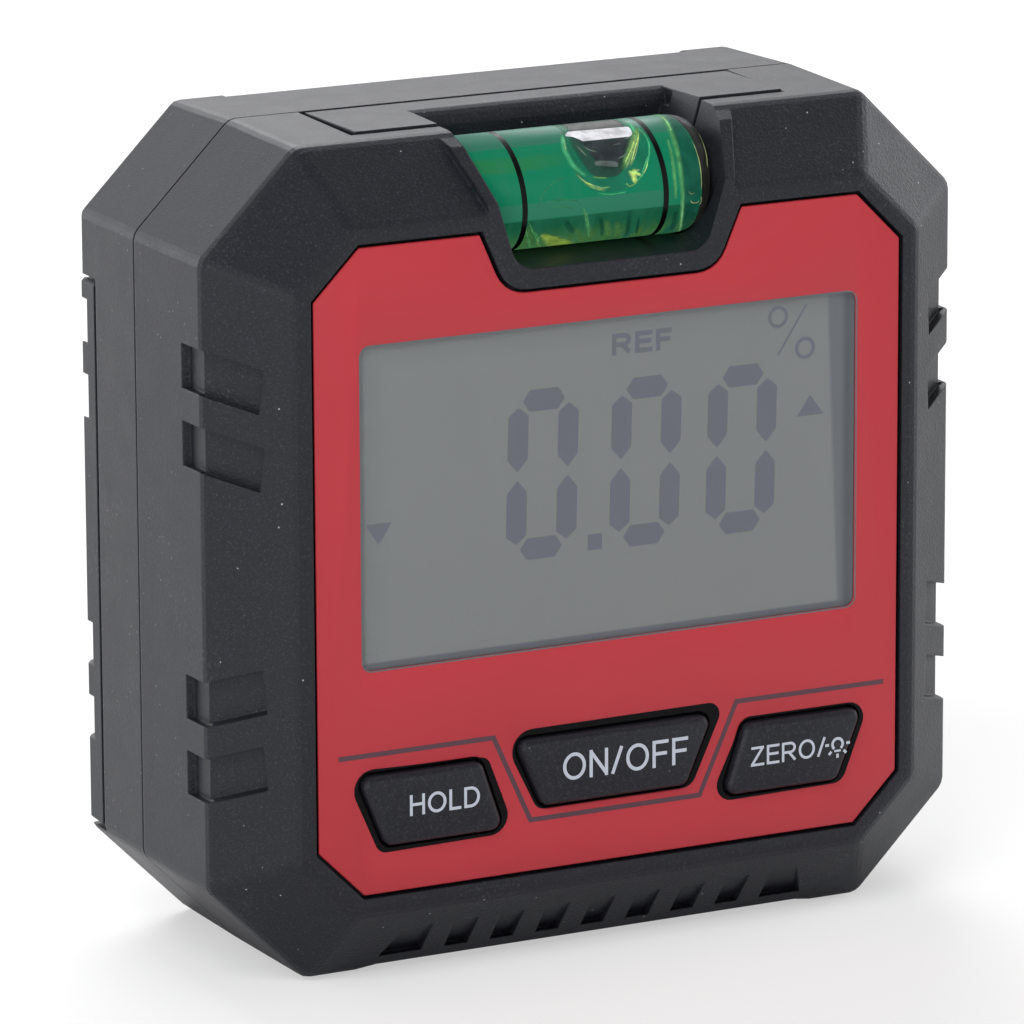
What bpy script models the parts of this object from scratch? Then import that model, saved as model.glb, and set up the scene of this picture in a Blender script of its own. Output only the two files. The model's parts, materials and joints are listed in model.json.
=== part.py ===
"""Digital angle gauge: a small square level box with a display, three keys and a bubble vial.

Metres, +Z up, front towards -Y. The origin is at the bottom centre of the whole gauge. Every
piece hangs from one empty at the middle of the base in the plane of the front ring, so a local
Y is a depth measured back from that ring.
"""

import math

import bmesh
import bpy
from mathutils import Matrix, Vector

MM = 0.001

# Body
BODY_WIDTH = 60.0 * MM
BODY_HEIGHT = 60.0 * MM
BODY_DEPTH = 24.6 * MM
CORNER_CUT = 7.5 * MM
PARTING_DEPTH = 14.75 * MM
WALL = 2.0 * MM
DRAFT = 0.25 * MM
FRONT_BEVEL_IN = 5.5 * MM
FRONT_BEVEL_DEPTH = 4.3 * MM
FRONT_WALL = 1.5 * MM
EDGE_ROUND = 0.45 * MM

# Clearances
SEAT_GAP = 0.3 * MM
SEAM_GAP = 0.15 * MM
OVERSHOOT = 1.0 * MM

# Face panel and window
PANEL_IN = 6.83 * MM
PANEL_THICK = 0.6 * MM
PANEL_SUNK = 0.1 * MM
PANEL_GAP = 0.25 * MM
PANEL_NOTCH_TOP = 10.35 * MM
PANEL_NOTCH_SLOPE = 0.44
RIM_BAND = 1.65 * MM
PANEL_NOTCH_ROUND = 2.5 * MM
WINDOW_SIDE = 3.52 * MM
WINDOW_FLOOR = 23.05 * MM
WINDOW_BELOW_NOTCH = 2.6 * MM
WINDOW_ROUND = 0.75 * MM
WINDOW_LEDGE = 0.5 * MM

# Keys: corner heights and half widths of the holes in the panel
KEY_PROUD = 0.5 * MM
KEY_TRAVEL = 0.5 * MM
KEY_GAP = 0.3 * MM
KEY_ROUND = 1.0 * MM
KEY_EDGE = 0.35 * MM
KEY_LIP = 0.8 * MM
KEY_LIP_THICK = 0.9 * MM
SIDE_KEY_TOP = 15.8 * MM
SIDE_KEY_FLOOR = 10.05 * MM
SIDE_KEY_TOP_IN = 9.35 * MM
SIDE_KEY_FLOOR_IN = 11.7 * MM
SIDE_KEY_INNER_TOP = 10.4 * MM
SIDE_KEY_INNER_FLOOR = 8.45 * MM
MIDDLE_KEY_TOP = 16.87 * MM
MIDDLE_KEY_FLOOR = 11.3 * MM
MIDDLE_KEY_HALF_TOP = 8.4 * MM
MIDDLE_KEY_HALF_FLOOR = 5.95 * MM

# Side grips: pockets that wrap from the side wall on to the front bevel
GRIP_OUTER_FROM_END = 15.4 * MM
GRIP_INNER_FROM_END = 20.9 * MM
GRIP_WIDTH = 3.2 * MM
GRIP_DEPTH = 0.75 * MM
GRIP_REACH = 7.45 * MM
GRIP_RAMP = 0.2 * MM
GRIP_FRONT_IN = 3.5 * MM
GRIP_SLANT = 0.36
GRIP_END_SKEW = 0.12 * MM
REAR_GRIP_DEPTH = 1.15 * MM

# Ribbed grip along the lower front bevel, and the relief between the feet
RIB_COUNT = 8
RIB_PITCH = 3.65 * MM
RIB_WIDTH = 1.8 * MM
RIB_BAND_HALF = 15.8 * MM
RIB_BAND_FLARE = 1.3 * MM
RIB_BAND_TOP = 3.6 * MM
RIB_BAND_DEPTH = 0.65 * MM
RIB_LEDGE = 1.15 * MM
FOOT_RELIEF = 0.4 * MM
FOOT_IN = 13.0 * MM
FOOT_RELIEF_RUN = 2.0 * MM
TOP_RELIEF_IN = 11.6 * MM
TOP_RELIEF_DEPTH = 1.7 * MM
TOP_RELIEF_DROP = 0.6 * MM

# Vial, its pocket and its holder
VIAL_RADIUS = 4.2 * MM
VIAL_HALF_LENGTH = 9.4 * MM
VIAL_MIDDLE = -0.65 * MM
VIAL_DEPTH = 5.5 * MM
VIAL_DROP = 5.1 * MM
VIAL_BORE = 3.4 * MM
VIAL_END_WALL = 0.9 * MM
VIAL_PLUG_LENGTH = 2.6 * MM
VIAL_LINE_AT = 5.6 * MM
VIAL_LINE_WIDTH = 0.45 * MM
VIAL_LINE_DEPTH = 0.12 * MM
BUBBLE_HALF_LENGTH = 3.2 * MM
BUBBLE_HALF_WIDTH = 2.3 * MM
BUBBLE_DROP = 2.9 * MM
POCKET_HALF_TOP = 10.45 * MM
POCKET_REAR_IN = 0.3 * MM
POCKET_SLOPE = 0.31
POCKET_ROUND = 1.8 * MM
POCKET_REAR = 11.0 * MM
POCKET_WALL = 1.9 * MM
SOCKET_GAP = 0.2 * MM
RIM_RISE = 0.5 * MM
RIM_HALF_FLOOR = 9.63 * MM
RIM_SLOPE = 0.12
RIM_DRAFT = 0.32
HOLDER_FRONT = 6.3 * MM
HOLDER_IN = 13.0 * MM
HOLDER_PLATE = 2.0 * MM
HOLDER_GROOVE = 0.5 * MM
HOLDER_TIGHT = 0.12 * MM
HOLDER_EDGE_ROUND = 1.2 * MM

# Display stack and board
LCD_BORDER = 1.35 * MM
LCD_BORDER_BELOW = 2.15 * MM
LCD_THICK = 2.2 * MM
LCD_FRAME_WALL = 1.0 * MM
LIGHT_IN = 1.4 * MM
LIGHT_ABOVE_LCD_FLOOR = 2.3 * MM
LIGHT_THICK = 2.0 * MM
STRIP_IN = 3.0 * MM
STRIP_HEIGHT = 1.8 * MM
BOARD_PAST_LCD = 0.6 * MM
BOARD_FLOOR = 5.8 * MM
BOARD_BELOW_LCD_TOP = 0.2 * MM
BOARD_FRONT = 7.9 * MM
BOARD_THICK = 1.6 * MM
BOARD_SCREW_IN = 2.0 * MM
BOARD_SCREW_Z = 7.9 * MM
BOARD_POST_RADIUS = 1.3 * MM
BOARD_SCREW_RADIUS = 0.7 * MM
BOARD_SCREW_HEAD = 1.4 * MM
BOARD_SCREW_LENGTH = 5.0 * MM
SWITCH_SIDE = 4.5 * MM
SWITCH_THICK = 2.5 * MM
PLUNGER_RADIUS = 1.0 * MM
CHIP_SIDE = 6.0 * MM
CHIP_THICK = 1.2 * MM
CHIP_Z = 9.0 * MM
SENSOR_SIDE = 4.0 * MM
LED_LENGTH = 3.0 * MM
LED_WIDTH = 1.2 * MM
LED_THICK = 1.6 * MM

# Battery bay, cells and contacts
CELL_FROM_SIDE = 8.25 * MM
CELL_NUB_RADIUS = 1.9 * MM
CELL_NUB_LENGTH = 1.0 * MM
BAY_BELOW_COVER_MIDDLE = 0.55 * MM
BAY_WALL = 1.2 * MM
CONTACT_THICK = 0.4 * MM
CONTACT_IN = 1.75 * MM
SPRING_LENGTH = 4.4 * MM
SPRING_WIRE = 0.35 * MM
SPRING_RADIUS = 3.0 * MM
SPRING_TURNS = 3

# Battery cover
COVER_FLOOR = 7.7 * MM
COVER_FROM_TOP = 12.4 * MM
COVER_THICK = 2.45 * MM
COVER_GAP = 0.35 * MM
COVER_RAIL = 1.0 * MM
COVER_RAIL_DEPTH = 1.9 * MM
COVER_RAIL_IN = 10.0 * MM
FINGER_RADIUS = 9.0 * MM
FINGER_DEPTH = 1.2 * MM

# Housing screws and base magnets
SCREW_IN = 5.8 * MM
SCREW_BELOW_BAY = 2.9 * MM
SCREW_ABOVE_BAY = 4.0 * MM
SCREW_RADIUS = 1.1 * MM
SCREW_HEAD_RADIUS = 2.0 * MM
SCREW_HEAD_THICK = 1.3 * MM
SCREW_TIP = 5.2 * MM
POST_RADIUS = 2.2 * MM
MAGNET_RADIUS = 3.5 * MM
MAGNET_THICK = 2.5 * MM
MAGNET_X = 12.0 * MM
MAGNET_FROM_PARTING = 5.15 * MM
MAGNET_CUP_WALL = 1.2 * MM

# Facets
ARC_STEPS = 5
ROUND_STEPS = 40
SMALL_ROUND_STEPS = 20

# Worked out from the sizes above: outline and front
HALF_WIDTH = BODY_WIDTH / 2
OFFSET_CUT = 2 - math.sqrt(2)
FOOT_RELIEF_HALF = HALF_WIDTH - FOOT_IN
TOP_RELIEF_HALF = HALF_WIDTH - TOP_RELIEF_IN
HOLDER_HALF_WIDTH = HALF_WIDTH - HOLDER_IN
VIAL_HEIGHT = BODY_HEIGHT - VIAL_DROP
POCKET_FLOOR = VIAL_HEIGHT - VIAL_RADIUS - SEAT_GAP
PANEL_NOTCH_FLOOR = POCKET_FLOOR - RIM_BAND
WINDOW_WIDTH = BODY_WIDTH - 2 * (PANEL_IN + WINDOW_SIDE)
WINDOW_HEIGHT = PANEL_NOTCH_FLOOR - WINDOW_BELOW_NOTCH - WINDOW_FLOOR
SIDE_KEY_OUTER_TOP = HALF_WIDTH - SIDE_KEY_TOP_IN
SIDE_KEY_OUTER_FLOOR = HALF_WIDTH - SIDE_KEY_FLOOR_IN
GRIP_LOW_HEIGHTS = (GRIP_OUTER_FROM_END, GRIP_INNER_FROM_END)
GRIP_HEIGHTS = GRIP_LOW_HEIGHTS + tuple(BODY_HEIGHT - height for height in reversed(GRIP_LOW_HEIGHTS))

# Worked out: depths and heights of the display stack and the board
PANEL_BACK = PANEL_SUNK + PANEL_THICK
PANEL_SEAT = PANEL_BACK + SEAT_GAP
INNER_FACE = PANEL_SEAT + FRONT_WALL
LCD_FRONT = INNER_FACE + SEAT_GAP
LCD_HALF_WIDTH = WINDOW_WIDTH / 2 + LCD_BORDER
LCD_FLOOR = WINDOW_FLOOR - LCD_BORDER_BELOW
LCD_TOP = WINDOW_FLOOR + WINDOW_HEIGHT + LCD_BORDER
LIGHT_FRONT = LCD_FRONT + LCD_THICK + SEAT_GAP
LIGHT_HALF_WIDTH = LCD_HALF_WIDTH - LIGHT_IN
LIGHT_FLOOR = LCD_FLOOR + LIGHT_ABOVE_LCD_FLOOR
STRIP_HALF_LENGTH = LCD_HALF_WIDTH - STRIP_IN
KEY_LIP_FRONT = INNER_FACE + SEAT_GAP
KEY_BACK = KEY_LIP_FRONT + KEY_LIP_THICK
SWITCH_BACK = BOARD_FRONT - SEAT_GAP
SWITCH_FRONT = SWITCH_BACK - SWITCH_THICK
BOARD_BACK = BOARD_FRONT + BOARD_THICK
BOARD_HALF_WIDTH = LCD_HALF_WIDTH + BOARD_PAST_LCD
BOARD_TOP = LCD_TOP - BOARD_BELOW_LCD_TOP
BOARD_SCREW_X = BOARD_HALF_WIDTH - BOARD_SCREW_IN
SIDE_KEY_HALF_SUM = SIDE_KEY_OUTER_TOP + SIDE_KEY_OUTER_FLOOR + SIDE_KEY_INNER_TOP + SIDE_KEY_INNER_FLOOR
CHIP_X = SIDE_KEY_HALF_SUM / 8

# Worked out: cover, cells, screws and magnets
COVER_TOP = BODY_HEIGHT - COVER_FROM_TOP
COVER_FRONT = BODY_DEPTH - COVER_THICK
COVER_RAIL_HALF = HALF_WIDTH - COVER_RAIL_IN
BACK_SEAT = COVER_FRONT - COVER_GAP
CELL_RADIUS = (BACK_SEAT - BOARD_BACK - BAY_WALL - 2 * SEAT_GAP) / 2
CELL_LENGTH = BODY_WIDTH - 2 * CELL_FROM_SIDE
CELL_DEPTH = BACK_SEAT - CELL_RADIUS
CELL_RISE = CELL_RADIUS + SEAT_GAP / 2
CONTACT_HEIGHT = 2 * (CELL_RADIUS - CONTACT_IN)
BAY_MIDDLE = (COVER_FLOOR + COVER_TOP) / 2 - BAY_BELOW_COVER_MIDDLE
BAY_FLOOR_DEPTH = CELL_DEPTH - CELL_RADIUS - SEAT_GAP
BAY_HALF_HEIGHT = 2 * CELL_RADIUS + 2 * SEAT_GAP
BAY_HALF_LENGTH = (CELL_LENGTH + CELL_NUB_LENGTH + SPRING_LENGTH) / 2 + CONTACT_THICK + 2.5 * SEAT_GAP
SCREW_X = HALF_WIDTH - SCREW_IN
SCREW_LOW = BAY_MIDDLE - BAY_HALF_HEIGHT - BAY_WALL - SCREW_BELOW_BAY
SCREW_HIGH = BAY_MIDDLE + BAY_HALF_HEIGHT + BAY_WALL + SCREW_ABOVE_BAY
MAGNET_DEPTH = PARTING_DEPTH - MAGNET_FROM_PARTING
SCREW_HEAD_DEPTH = BACK_SEAT - SCREW_HEAD_THICK - SEAT_GAP
SCREW_LENGTH = SCREW_HEAD_DEPTH - SCREW_TIP


def make_material(name, colour, roughness, metallic=0.0, transmission=0.0):
    """A Principled material; colour is linear RGB."""
    made = bpy.data.materials.new(name)
    made.use_nodes = True
    shader = made.node_tree.nodes["Principled BSDF"]
    shader.inputs["Base Color"].default_value = (*colour, 1.0)
    shader.inputs["Roughness"].default_value = roughness
    shader.inputs["Metallic"].default_value = metallic
    shader.inputs["Transmission Weight"].default_value = transmission
    made.diffuse_color = (*colour, 1.0)
    return made


def clear_scene():
    """Remove whatever the file holds."""
    for old in list(bpy.data.objects):
        bpy.data.objects.remove(old, do_unlink=True)


def mesh_from(name, shape):
    """Turn a bmesh into a mesh with its normals facing out, and free it."""
    bmesh.ops.recalc_face_normals(shape, faces=shape.faces)
    mesh = bpy.data.meshes.new(name)
    shape.to_mesh(mesh)
    shape.free()
    return mesh


class Workbench:
    """Holds the empty that carries the gauge, and adds pieces and cutters under it."""

    def __init__(self):
        front = (BODY_DEPTH + KEY_PROUD) / 2 - KEY_PROUD
        self.carrier = bpy.data.objects.new("gauge_carrier", None)
        self.carrier.location = (0.0, -front, 0.0)
        bpy.context.scene.collection.objects.link(self.carrier)

    def add(self, name, shape, material, at=(0.0, 0.0, 0.0), smooth=False):
        """Link a piece made of a bmesh; `at` is its own origin, and its mesh is moved back by it."""
        bmesh.ops.translate(shape, verts=shape.verts, vec=-Vector(at))
        mesh = mesh_from(name, shape)
        mesh.materials.append(material)
        piece = bpy.data.objects.new(name, mesh)
        piece.parent = self.carrier
        piece.location = at
        bpy.context.scene.collection.objects.link(piece)
        if smooth:
            mesh.shade_smooth()
            mesh.set_sharp_from_angle(angle=math.radians(40))
        return piece

    def tool(self, piece, shape, operation):
        """Join a shape to a piece, or cut it away, with an exact Boolean that stays live."""
        step = len(piece.modifiers) + 1
        name = f"{piece.name}_{operation.lower()}_{step}"
        helper = bpy.data.objects.new(name, mesh_from(name, shape))
        helper.parent = self.carrier
        helper.hide_render = True
        helper.display_type = "WIRE"
        bpy.context.scene.collection.objects.link(helper)
        modifier = piece.modifiers.new(name, "BOOLEAN")
        modifier.operation = operation
        modifier.solver = "EXACT"
        modifier.object = helper

    def cut(self, piece, *shapes):
        for shape in shapes:
            self.tool(piece, shape, "DIFFERENCE")

    def join(self, piece, *shapes):
        for shape in shapes:
            self.tool(piece, shape, "UNION")


def loft(sections):
    """Close a solid through outlines of (x, z) points, each at its own depth y."""
    shape = bmesh.new()
    loops = [[shape.verts.new((x, depth, z)) for x, z in outline] for depth, outline in sections]
    for near, far in zip(loops, loops[1:]):
        for index in range(len(near)):
            after = (index + 1) % len(near)
            shape.faces.new((near[index], near[after], far[after], far[index]))
    shape.faces.new(loops[0])
    shape.faces.new(reversed(loops[-1]))
    return shape


def prism(outline, front, back):
    """An (x, z) outline carried straight back from one depth to another."""
    return loft([(front, outline), (back, outline)])


def block(x_range, y_range, z_range):
    """A box from its three ranges."""
    (x0, x1), (y0, y1), (z0, z1) = x_range, y_range, z_range
    return prism([(x0, z0), (x1, z0), (x1, z1), (x0, z1)], y0, y1)


def rod(axis, centre, radius, start, end, steps=ROUND_STEPS, end_radius=None):
    """A cylinder or cone along X, Y or Z; `centre` gives the two other coordinates in order."""
    shape = bmesh.new()
    bmesh.ops.create_cone(
        shape,
        cap_ends=True,
        segments=steps,
        radius1=radius,
        radius2=radius if end_radius is None else end_radius,
        depth=end - start,
    )
    turn = {
        "X": Matrix.Rotation(math.radians(90), 4, "Y"),
        "Y": Matrix.Rotation(math.radians(-90), 4, "X"),
        "Z": Matrix.Identity(4),
    }[axis]
    middle = (start + end) / 2
    place = {
        "X": (middle, centre[0], centre[1]),
        "Y": (centre[0], middle, centre[1]),
        "Z": (centre[0], centre[1], middle),
    }[axis]
    bmesh.ops.transform(shape, matrix=Matrix.Translation(place) @ turn, verts=shape.verts)
    return shape


def trim(shape, point, normal):
    """Cut a convex shape by a plane, drop what lies on the normal's side and close the cut."""
    found = bmesh.ops.bisect_plane(
        shape,
        geom=list(shape.verts) + list(shape.edges) + list(shape.faces),
        plane_co=point,
        plane_no=normal,
        clear_outer=True,
    )
    rim = [item for item in found["geom_cut"] if isinstance(item, bmesh.types.BMEdge)]
    bmesh.ops.contextual_create(shape, geom=rim)
    return shape


def mirrored(points):
    """The same outline across x = 0, still running the same way round."""
    return [(-x, z) for x, z in reversed(points)]


def grown(outline, by):
    """Move each edge of an anticlockwise outline outwards by a distance."""
    moved = []
    count = len(outline)
    for index in range(count):
        before = Vector(outline[index - 1])
        here = Vector(outline[index])
        after = Vector(outline[(index + 1) % count])
        first = (here - before).normalized()
        second = (after - here).normalized()
        out_first = Vector((first.y, -first.x))
        out_second = Vector((second.y, -second.x))
        bend = 1 + out_first.dot(out_second)
        shift = (out_first + out_second) * (by / bend)
        moved.append(tuple(here + shift))
    return moved


def rounded(outline, radii, steps=ARC_STEPS):
    """Replace corners of an outline by arcs; radii maps a corner's index to its radius."""
    points = []
    count = len(outline)
    for index in range(count):
        here = Vector(outline[index])
        radius = radii.get(index, 0.0)
        if radius <= 0.0:
            points.append(tuple(here))
            continue
        to_before = (Vector(outline[index - 1]) - here).normalized()
        to_after = (Vector(outline[(index + 1) % count]) - here).normalized()
        half_angle = math.acos(to_before.dot(to_after)) / 2
        centre = here + (to_before + to_after).normalized() * (radius / math.sin(half_angle))
        start = here + to_before * (radius / math.tan(half_angle))
        spoke = start - centre
        turn = math.pi - 2 * half_angle
        side = 1.0 if to_before.cross(to_after) < 0 else -1.0
        for step in range(steps + 1):
            angle = side * turn * step / steps
            points.append(
                (
                    centre.x + spoke.x * math.cos(angle) - spoke.y * math.sin(angle),
                    centre.y + spoke.x * math.sin(angle) + spoke.y * math.cos(angle),
                )
            )
    return points


def body_outline(inset, foot=None):
    """The square with its corners cut at 45 degrees, moved in by an inset; foot is its lowest height."""
    half = HALF_WIDTH - inset
    top = BODY_HEIGHT - inset
    low = inset if foot is None else foot
    cut = CORNER_CUT - inset * OFFSET_CUT
    return [
        (-half + cut, low),
        (half - cut, low),
        (half, low + cut),
        (half, top - cut),
        (half - cut, top),
        (-half + cut, top),
        (-half, top - cut),
        (-half, low + cut),
    ]


def bevel_inset(depth, wall=0.0):
    """How far in from the body's sides the front bevel lies at a depth, or its inner face for a wall."""
    run = FRONT_BEVEL_IN - DRAFT
    slant = math.hypot(run, FRONT_BEVEL_DEPTH)
    moved = FRONT_BEVEL_IN + wall * slant / FRONT_BEVEL_DEPTH
    return moved - depth * run / FRONT_BEVEL_DEPTH


def round_edges(shape, keep_depth, radius=EDGE_ROUND, steps=2):
    """Round every edge of a body but those that lie in the plane at keep_depth."""
    bmesh.ops.recalc_face_normals(shape, faces=shape.faces)
    picked = []
    for edge in shape.edges:
        depths = [vertex.co.y for vertex in edge.verts]
        if max(abs(depth - keep_depth) for depth in depths) > 1e-6 and edge.calc_face_angle(0) > 0.1:
            picked.append(edge)
    bmesh.ops.bevel(
        shape, geom=picked, offset=radius, segments=steps, profile=0.5, affect="EDGES", clamp_overlap=True
    )
    return shape


def panel_outline():
    """The face panel: the body's octagon moved in, with a notch in its top for the vial."""
    points = body_outline(PANEL_IN)
    top = BODY_HEIGHT - PANEL_IN
    low_half = PANEL_NOTCH_TOP - PANEL_NOTCH_SLOPE * (top - PANEL_NOTCH_FLOOR)
    notch = [
        (PANEL_NOTCH_TOP, top),
        (low_half, PANEL_NOTCH_FLOOR),
        (-low_half, PANEL_NOTCH_FLOOR),
        (-PANEL_NOTCH_TOP, top),
    ]
    return points[:5] + notch + points[5:]


def round_notch(outline, grow=0.0):
    """Round the two inner corners of the panel's notch."""
    return rounded(outline, {6: PANEL_NOTCH_ROUND - grow, 7: PANEL_NOTCH_ROUND - grow})


def window_outline(inset=0.0):
    """The window's rounded rectangle."""
    half = WINDOW_WIDTH / 2 - inset
    low = WINDOW_FLOOR + inset
    high = WINDOW_FLOOR + WINDOW_HEIGHT - inset
    corners = [(-half, low), (half, low), (half, high), (-half, high)]
    return rounded(corners, dict.fromkeys(range(4), WINDOW_ROUND))


def key_outlines():
    """The three key holes' corners, by key."""
    zero = [
        (SIDE_KEY_INNER_FLOOR, SIDE_KEY_FLOOR),
        (SIDE_KEY_OUTER_FLOOR, SIDE_KEY_FLOOR),
        (SIDE_KEY_OUTER_TOP, SIDE_KEY_TOP),
        (SIDE_KEY_INNER_TOP, SIDE_KEY_TOP),
    ]
    on_off = [
        (-MIDDLE_KEY_HALF_FLOOR, MIDDLE_KEY_FLOOR),
        (MIDDLE_KEY_HALF_FLOOR, MIDDLE_KEY_FLOOR),
        (MIDDLE_KEY_HALF_TOP, MIDDLE_KEY_TOP),
        (-MIDDLE_KEY_HALF_TOP, MIDDLE_KEY_TOP),
    ]
    return {"hold": mirrored(zero), "on_off": on_off, "zero": zero}


def key_hole(corners, grow=0.0):
    """A key hole's outline, grown and with round corners."""
    radius = KEY_ROUND + grow
    return rounded(grown(corners, grow), dict.fromkeys(range(4), radius))


def key_middle(corners):
    """The middle of a key, in x and z."""
    return (
        sum(x for x, _ in corners) / len(corners),
        sum(z for _, z in corners) / len(corners),
    )


def pocket_outline(depth, grow=0.0):
    """The vial pocket's section at a depth: a U with sloping sides, open above the body's top."""
    above = BODY_HEIGHT + OVERSHOOT
    share = max(0.0, (depth - HOLDER_FRONT) / (POCKET_REAR - HOLDER_FRONT))
    half_top = POCKET_HALF_TOP + POCKET_SLOPE * OVERSHOOT - POCKET_REAR_IN * share
    half_low = half_top - POCKET_SLOPE * (above - POCKET_FLOOR)
    corners = [(-half_low, POCKET_FLOOR), (half_low, POCKET_FLOOR), (half_top, above), (-half_top, above)]
    return rounded(grown(corners, grow), {0: POCKET_ROUND + grow, 1: POCKET_ROUND + grow})


def grip_side_slot(side, height):
    """The part of a grip in the side wall: a straight slot with a steep rear end."""
    low, high = height - GRIP_WIDTH / 2, height + GRIP_WIDTH / 2
    floor_x = HALF_WIDTH - GRIP_DEPTH
    outside = HALF_WIDTH + OVERSHOOT
    ramp = GRIP_RAMP / GRIP_DEPTH
    plan = [
        (outside, GRIP_REACH + ramp * OVERSHOOT),
        (floor_x, GRIP_REACH - GRIP_RAMP),
        (floor_x, FRONT_BEVEL_DEPTH),
        (outside, FRONT_BEVEL_DEPTH),
    ]
    return plan_solid(
        [(side * x, y, low) for x, y in plan],
        [(side * x, y, high) for x, y in plan],
    )


def grip_bevel_slot(side, height):
    """The part of a grip on the front bevel: it slants towards mid height, square to the bevel."""
    lean = -GRIP_SLANT if height > BODY_HEIGHT / 2 else GRIP_SLANT
    run = FRONT_BEVEL_IN - DRAFT
    slant = math.hypot(run, FRONT_BEVEL_DEPTH)
    out = Vector((FRONT_BEVEL_DEPTH / slant, -run / slant))
    layers = []
    for edge in (-1, 1):
        end_in = GRIP_FRONT_IN + math.copysign(GRIP_END_SKEW, edge * -lean)
        end = Vector((HALF_WIDTH - end_in, (FRONT_BEVEL_IN - end_in) * FRONT_BEVEL_DEPTH / run))
        along = Vector((run, FRONT_BEVEL_DEPTH)) / slant
        floor_end = end - out * GRIP_DEPTH
        reach = (HALF_WIDTH - GRIP_DEPTH - floor_end.x) / along.x
        floor_corner = floor_end + along * reach
        top_corner = Vector((HALF_WIDTH - DRAFT / 2, floor_corner.y))
        plan = [end + out * OVERSHOOT, floor_end, floor_corner, top_corner, top_corner + out * OVERSHOOT]
        base = height + edge * GRIP_WIDTH / 2
        layers.append([(side * p.x, p.y, base + lean * (HALF_WIDTH - DRAFT - p.x)) for p in plan])
    return plan_solid(*layers)


def plan_solid(low_layer, high_layer):
    """Close a solid between two layers of points that run the same way round."""
    shape = bmesh.new()
    layers = [[shape.verts.new(point) for point in layer] for layer in (low_layer, high_layer)]
    count = len(low_layer)
    for index in range(count):
        after = (index + 1) % count
        shape.faces.new((layers[0][index], layers[0][after], layers[1][after], layers[1][index]))
    shape.faces.new(layers[0])
    shape.faces.new(reversed(layers[1]))
    return shape


def rear_grip(side, height):
    """The same grip on the back: a slanting slot across the cover's rear edge."""
    middle = BODY_HEIGHT / 2
    lean = GRIP_SLANT * (1 if height < middle else -1)
    half = GRIP_WIDTH / 2
    outside = HALF_WIDTH + OVERSHOOT
    inside = HALF_WIDTH - GRIP_FRONT_IN
    shift = lean * GRIP_FRONT_IN
    edge = HALF_WIDTH - DRAFT
    outline = [
        (side * outside, height - half),
        (side * outside, height + half),
        (side * edge, height + half),
        (side * inside, height + half + shift),
        (side * inside, height - half + shift),
        (side * edge, height - half),
    ]
    return prism(outline, BODY_DEPTH - REAR_GRIP_DEPTH, BODY_DEPTH + OVERSHOOT)


def rib_gap(left, right, left_flare=0.0, right_flare=0.0):
    """A wedge between two grip ribs: flush high on the lower bevel, deep above a ledge by the base."""
    fall = FRONT_BEVEL_DEPTH / (FRONT_BEVEL_IN - DRAFT)
    start_depth = (FRONT_BEVEL_IN - RIB_BAND_TOP) * fall
    end_depth = (FRONT_BEVEL_IN - RIB_LEDGE) * fall + RIB_BAND_DEPTH
    layers = []
    for x, flare in ((left, -left_flare), (right, right_flare)):
        layers.append(
            [
                (x, start_depth, RIB_BAND_TOP),
                (x + flare, end_depth, RIB_LEDGE),
                (x + flare, -OVERSHOOT, RIB_LEDGE),
                (x, -OVERSHOOT, RIB_BAND_TOP),
            ]
        )
    return plan_solid(*layers)


def rib_gaps():
    """Every gap of the ribbed band, with a flared one at each end."""
    first = -RIB_PITCH * (RIB_COUNT - 1) / 2 - RIB_WIDTH / 2
    gaps = [rib_gap(-RIB_BAND_HALF, first, left_flare=RIB_BAND_FLARE)]
    for index in range(RIB_COUNT - 1):
        right_side = first + index * RIB_PITCH + RIB_WIDTH
        gaps.append(rib_gap(right_side, right_side + RIB_PITCH - RIB_WIDTH))
    last = first + (RIB_COUNT - 1) * RIB_PITCH + RIB_WIDTH
    gaps.append(rib_gap(last, RIB_BAND_HALF, right_flare=RIB_BAND_FLARE))
    return gaps


def foot_relief():
    """The shallow rise of the base between its two feet."""
    low_half = FOOT_RELIEF_HALF + FOOT_RELIEF_RUN * (1 + OVERSHOOT / FOOT_RELIEF)
    outline = [
        (-low_half, -OVERSHOOT),
        (low_half, -OVERSHOOT),
        (FOOT_RELIEF_HALF, FOOT_RELIEF),
        (-FOOT_RELIEF_HALF, FOOT_RELIEF),
    ]
    return prism(outline, -OVERSHOOT, BODY_DEPTH + OVERSHOOT)


def rim_block():
    """The raised band round the vial's notch, flush with the ring, that fades out below the top edge."""
    low = BODY_HEIGHT - FRONT_BEVEL_IN - 2 * POCKET_ROUND
    high = BODY_HEIGHT - 2 * DRAFT
    sections = []
    for depth in (0.0, FRONT_BEVEL_DEPTH + 2 * RIM_RISE):
        wide = RIM_HALF_FLOOR + RIM_DRAFT * depth
        low_half = wide - RIM_SLOPE * (BODY_HEIGHT - FRONT_BEVEL_IN - low)
        high_half = wide + RIM_SLOPE * (high - BODY_HEIGHT + FRONT_BEVEL_IN)
        sections.append((depth, [(-low_half, low), (low_half, low), (high_half, high), (-high_half, high)]))
    normal = Vector((0.0, -(FRONT_BEVEL_IN - DRAFT), FRONT_BEVEL_DEPTH)).normalized()
    on_bevel = Vector((0.0, 0.0, BODY_HEIGHT - FRONT_BEVEL_IN))
    band = trim(loft(sections), on_bevel + normal * RIM_RISE, normal)
    down_bevel = Vector((0.0, -FRONT_BEVEL_DEPTH, DRAFT - FRONT_BEVEL_IN)).normalized()
    below_edge = Vector((0.0, FRONT_BEVEL_DEPTH, BODY_HEIGHT - DRAFT)) + down_bevel * EDGE_ROUND
    return trim(band, below_edge, (normal + Vector((0.0, 0.0, 1.0))).normalized())


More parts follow.
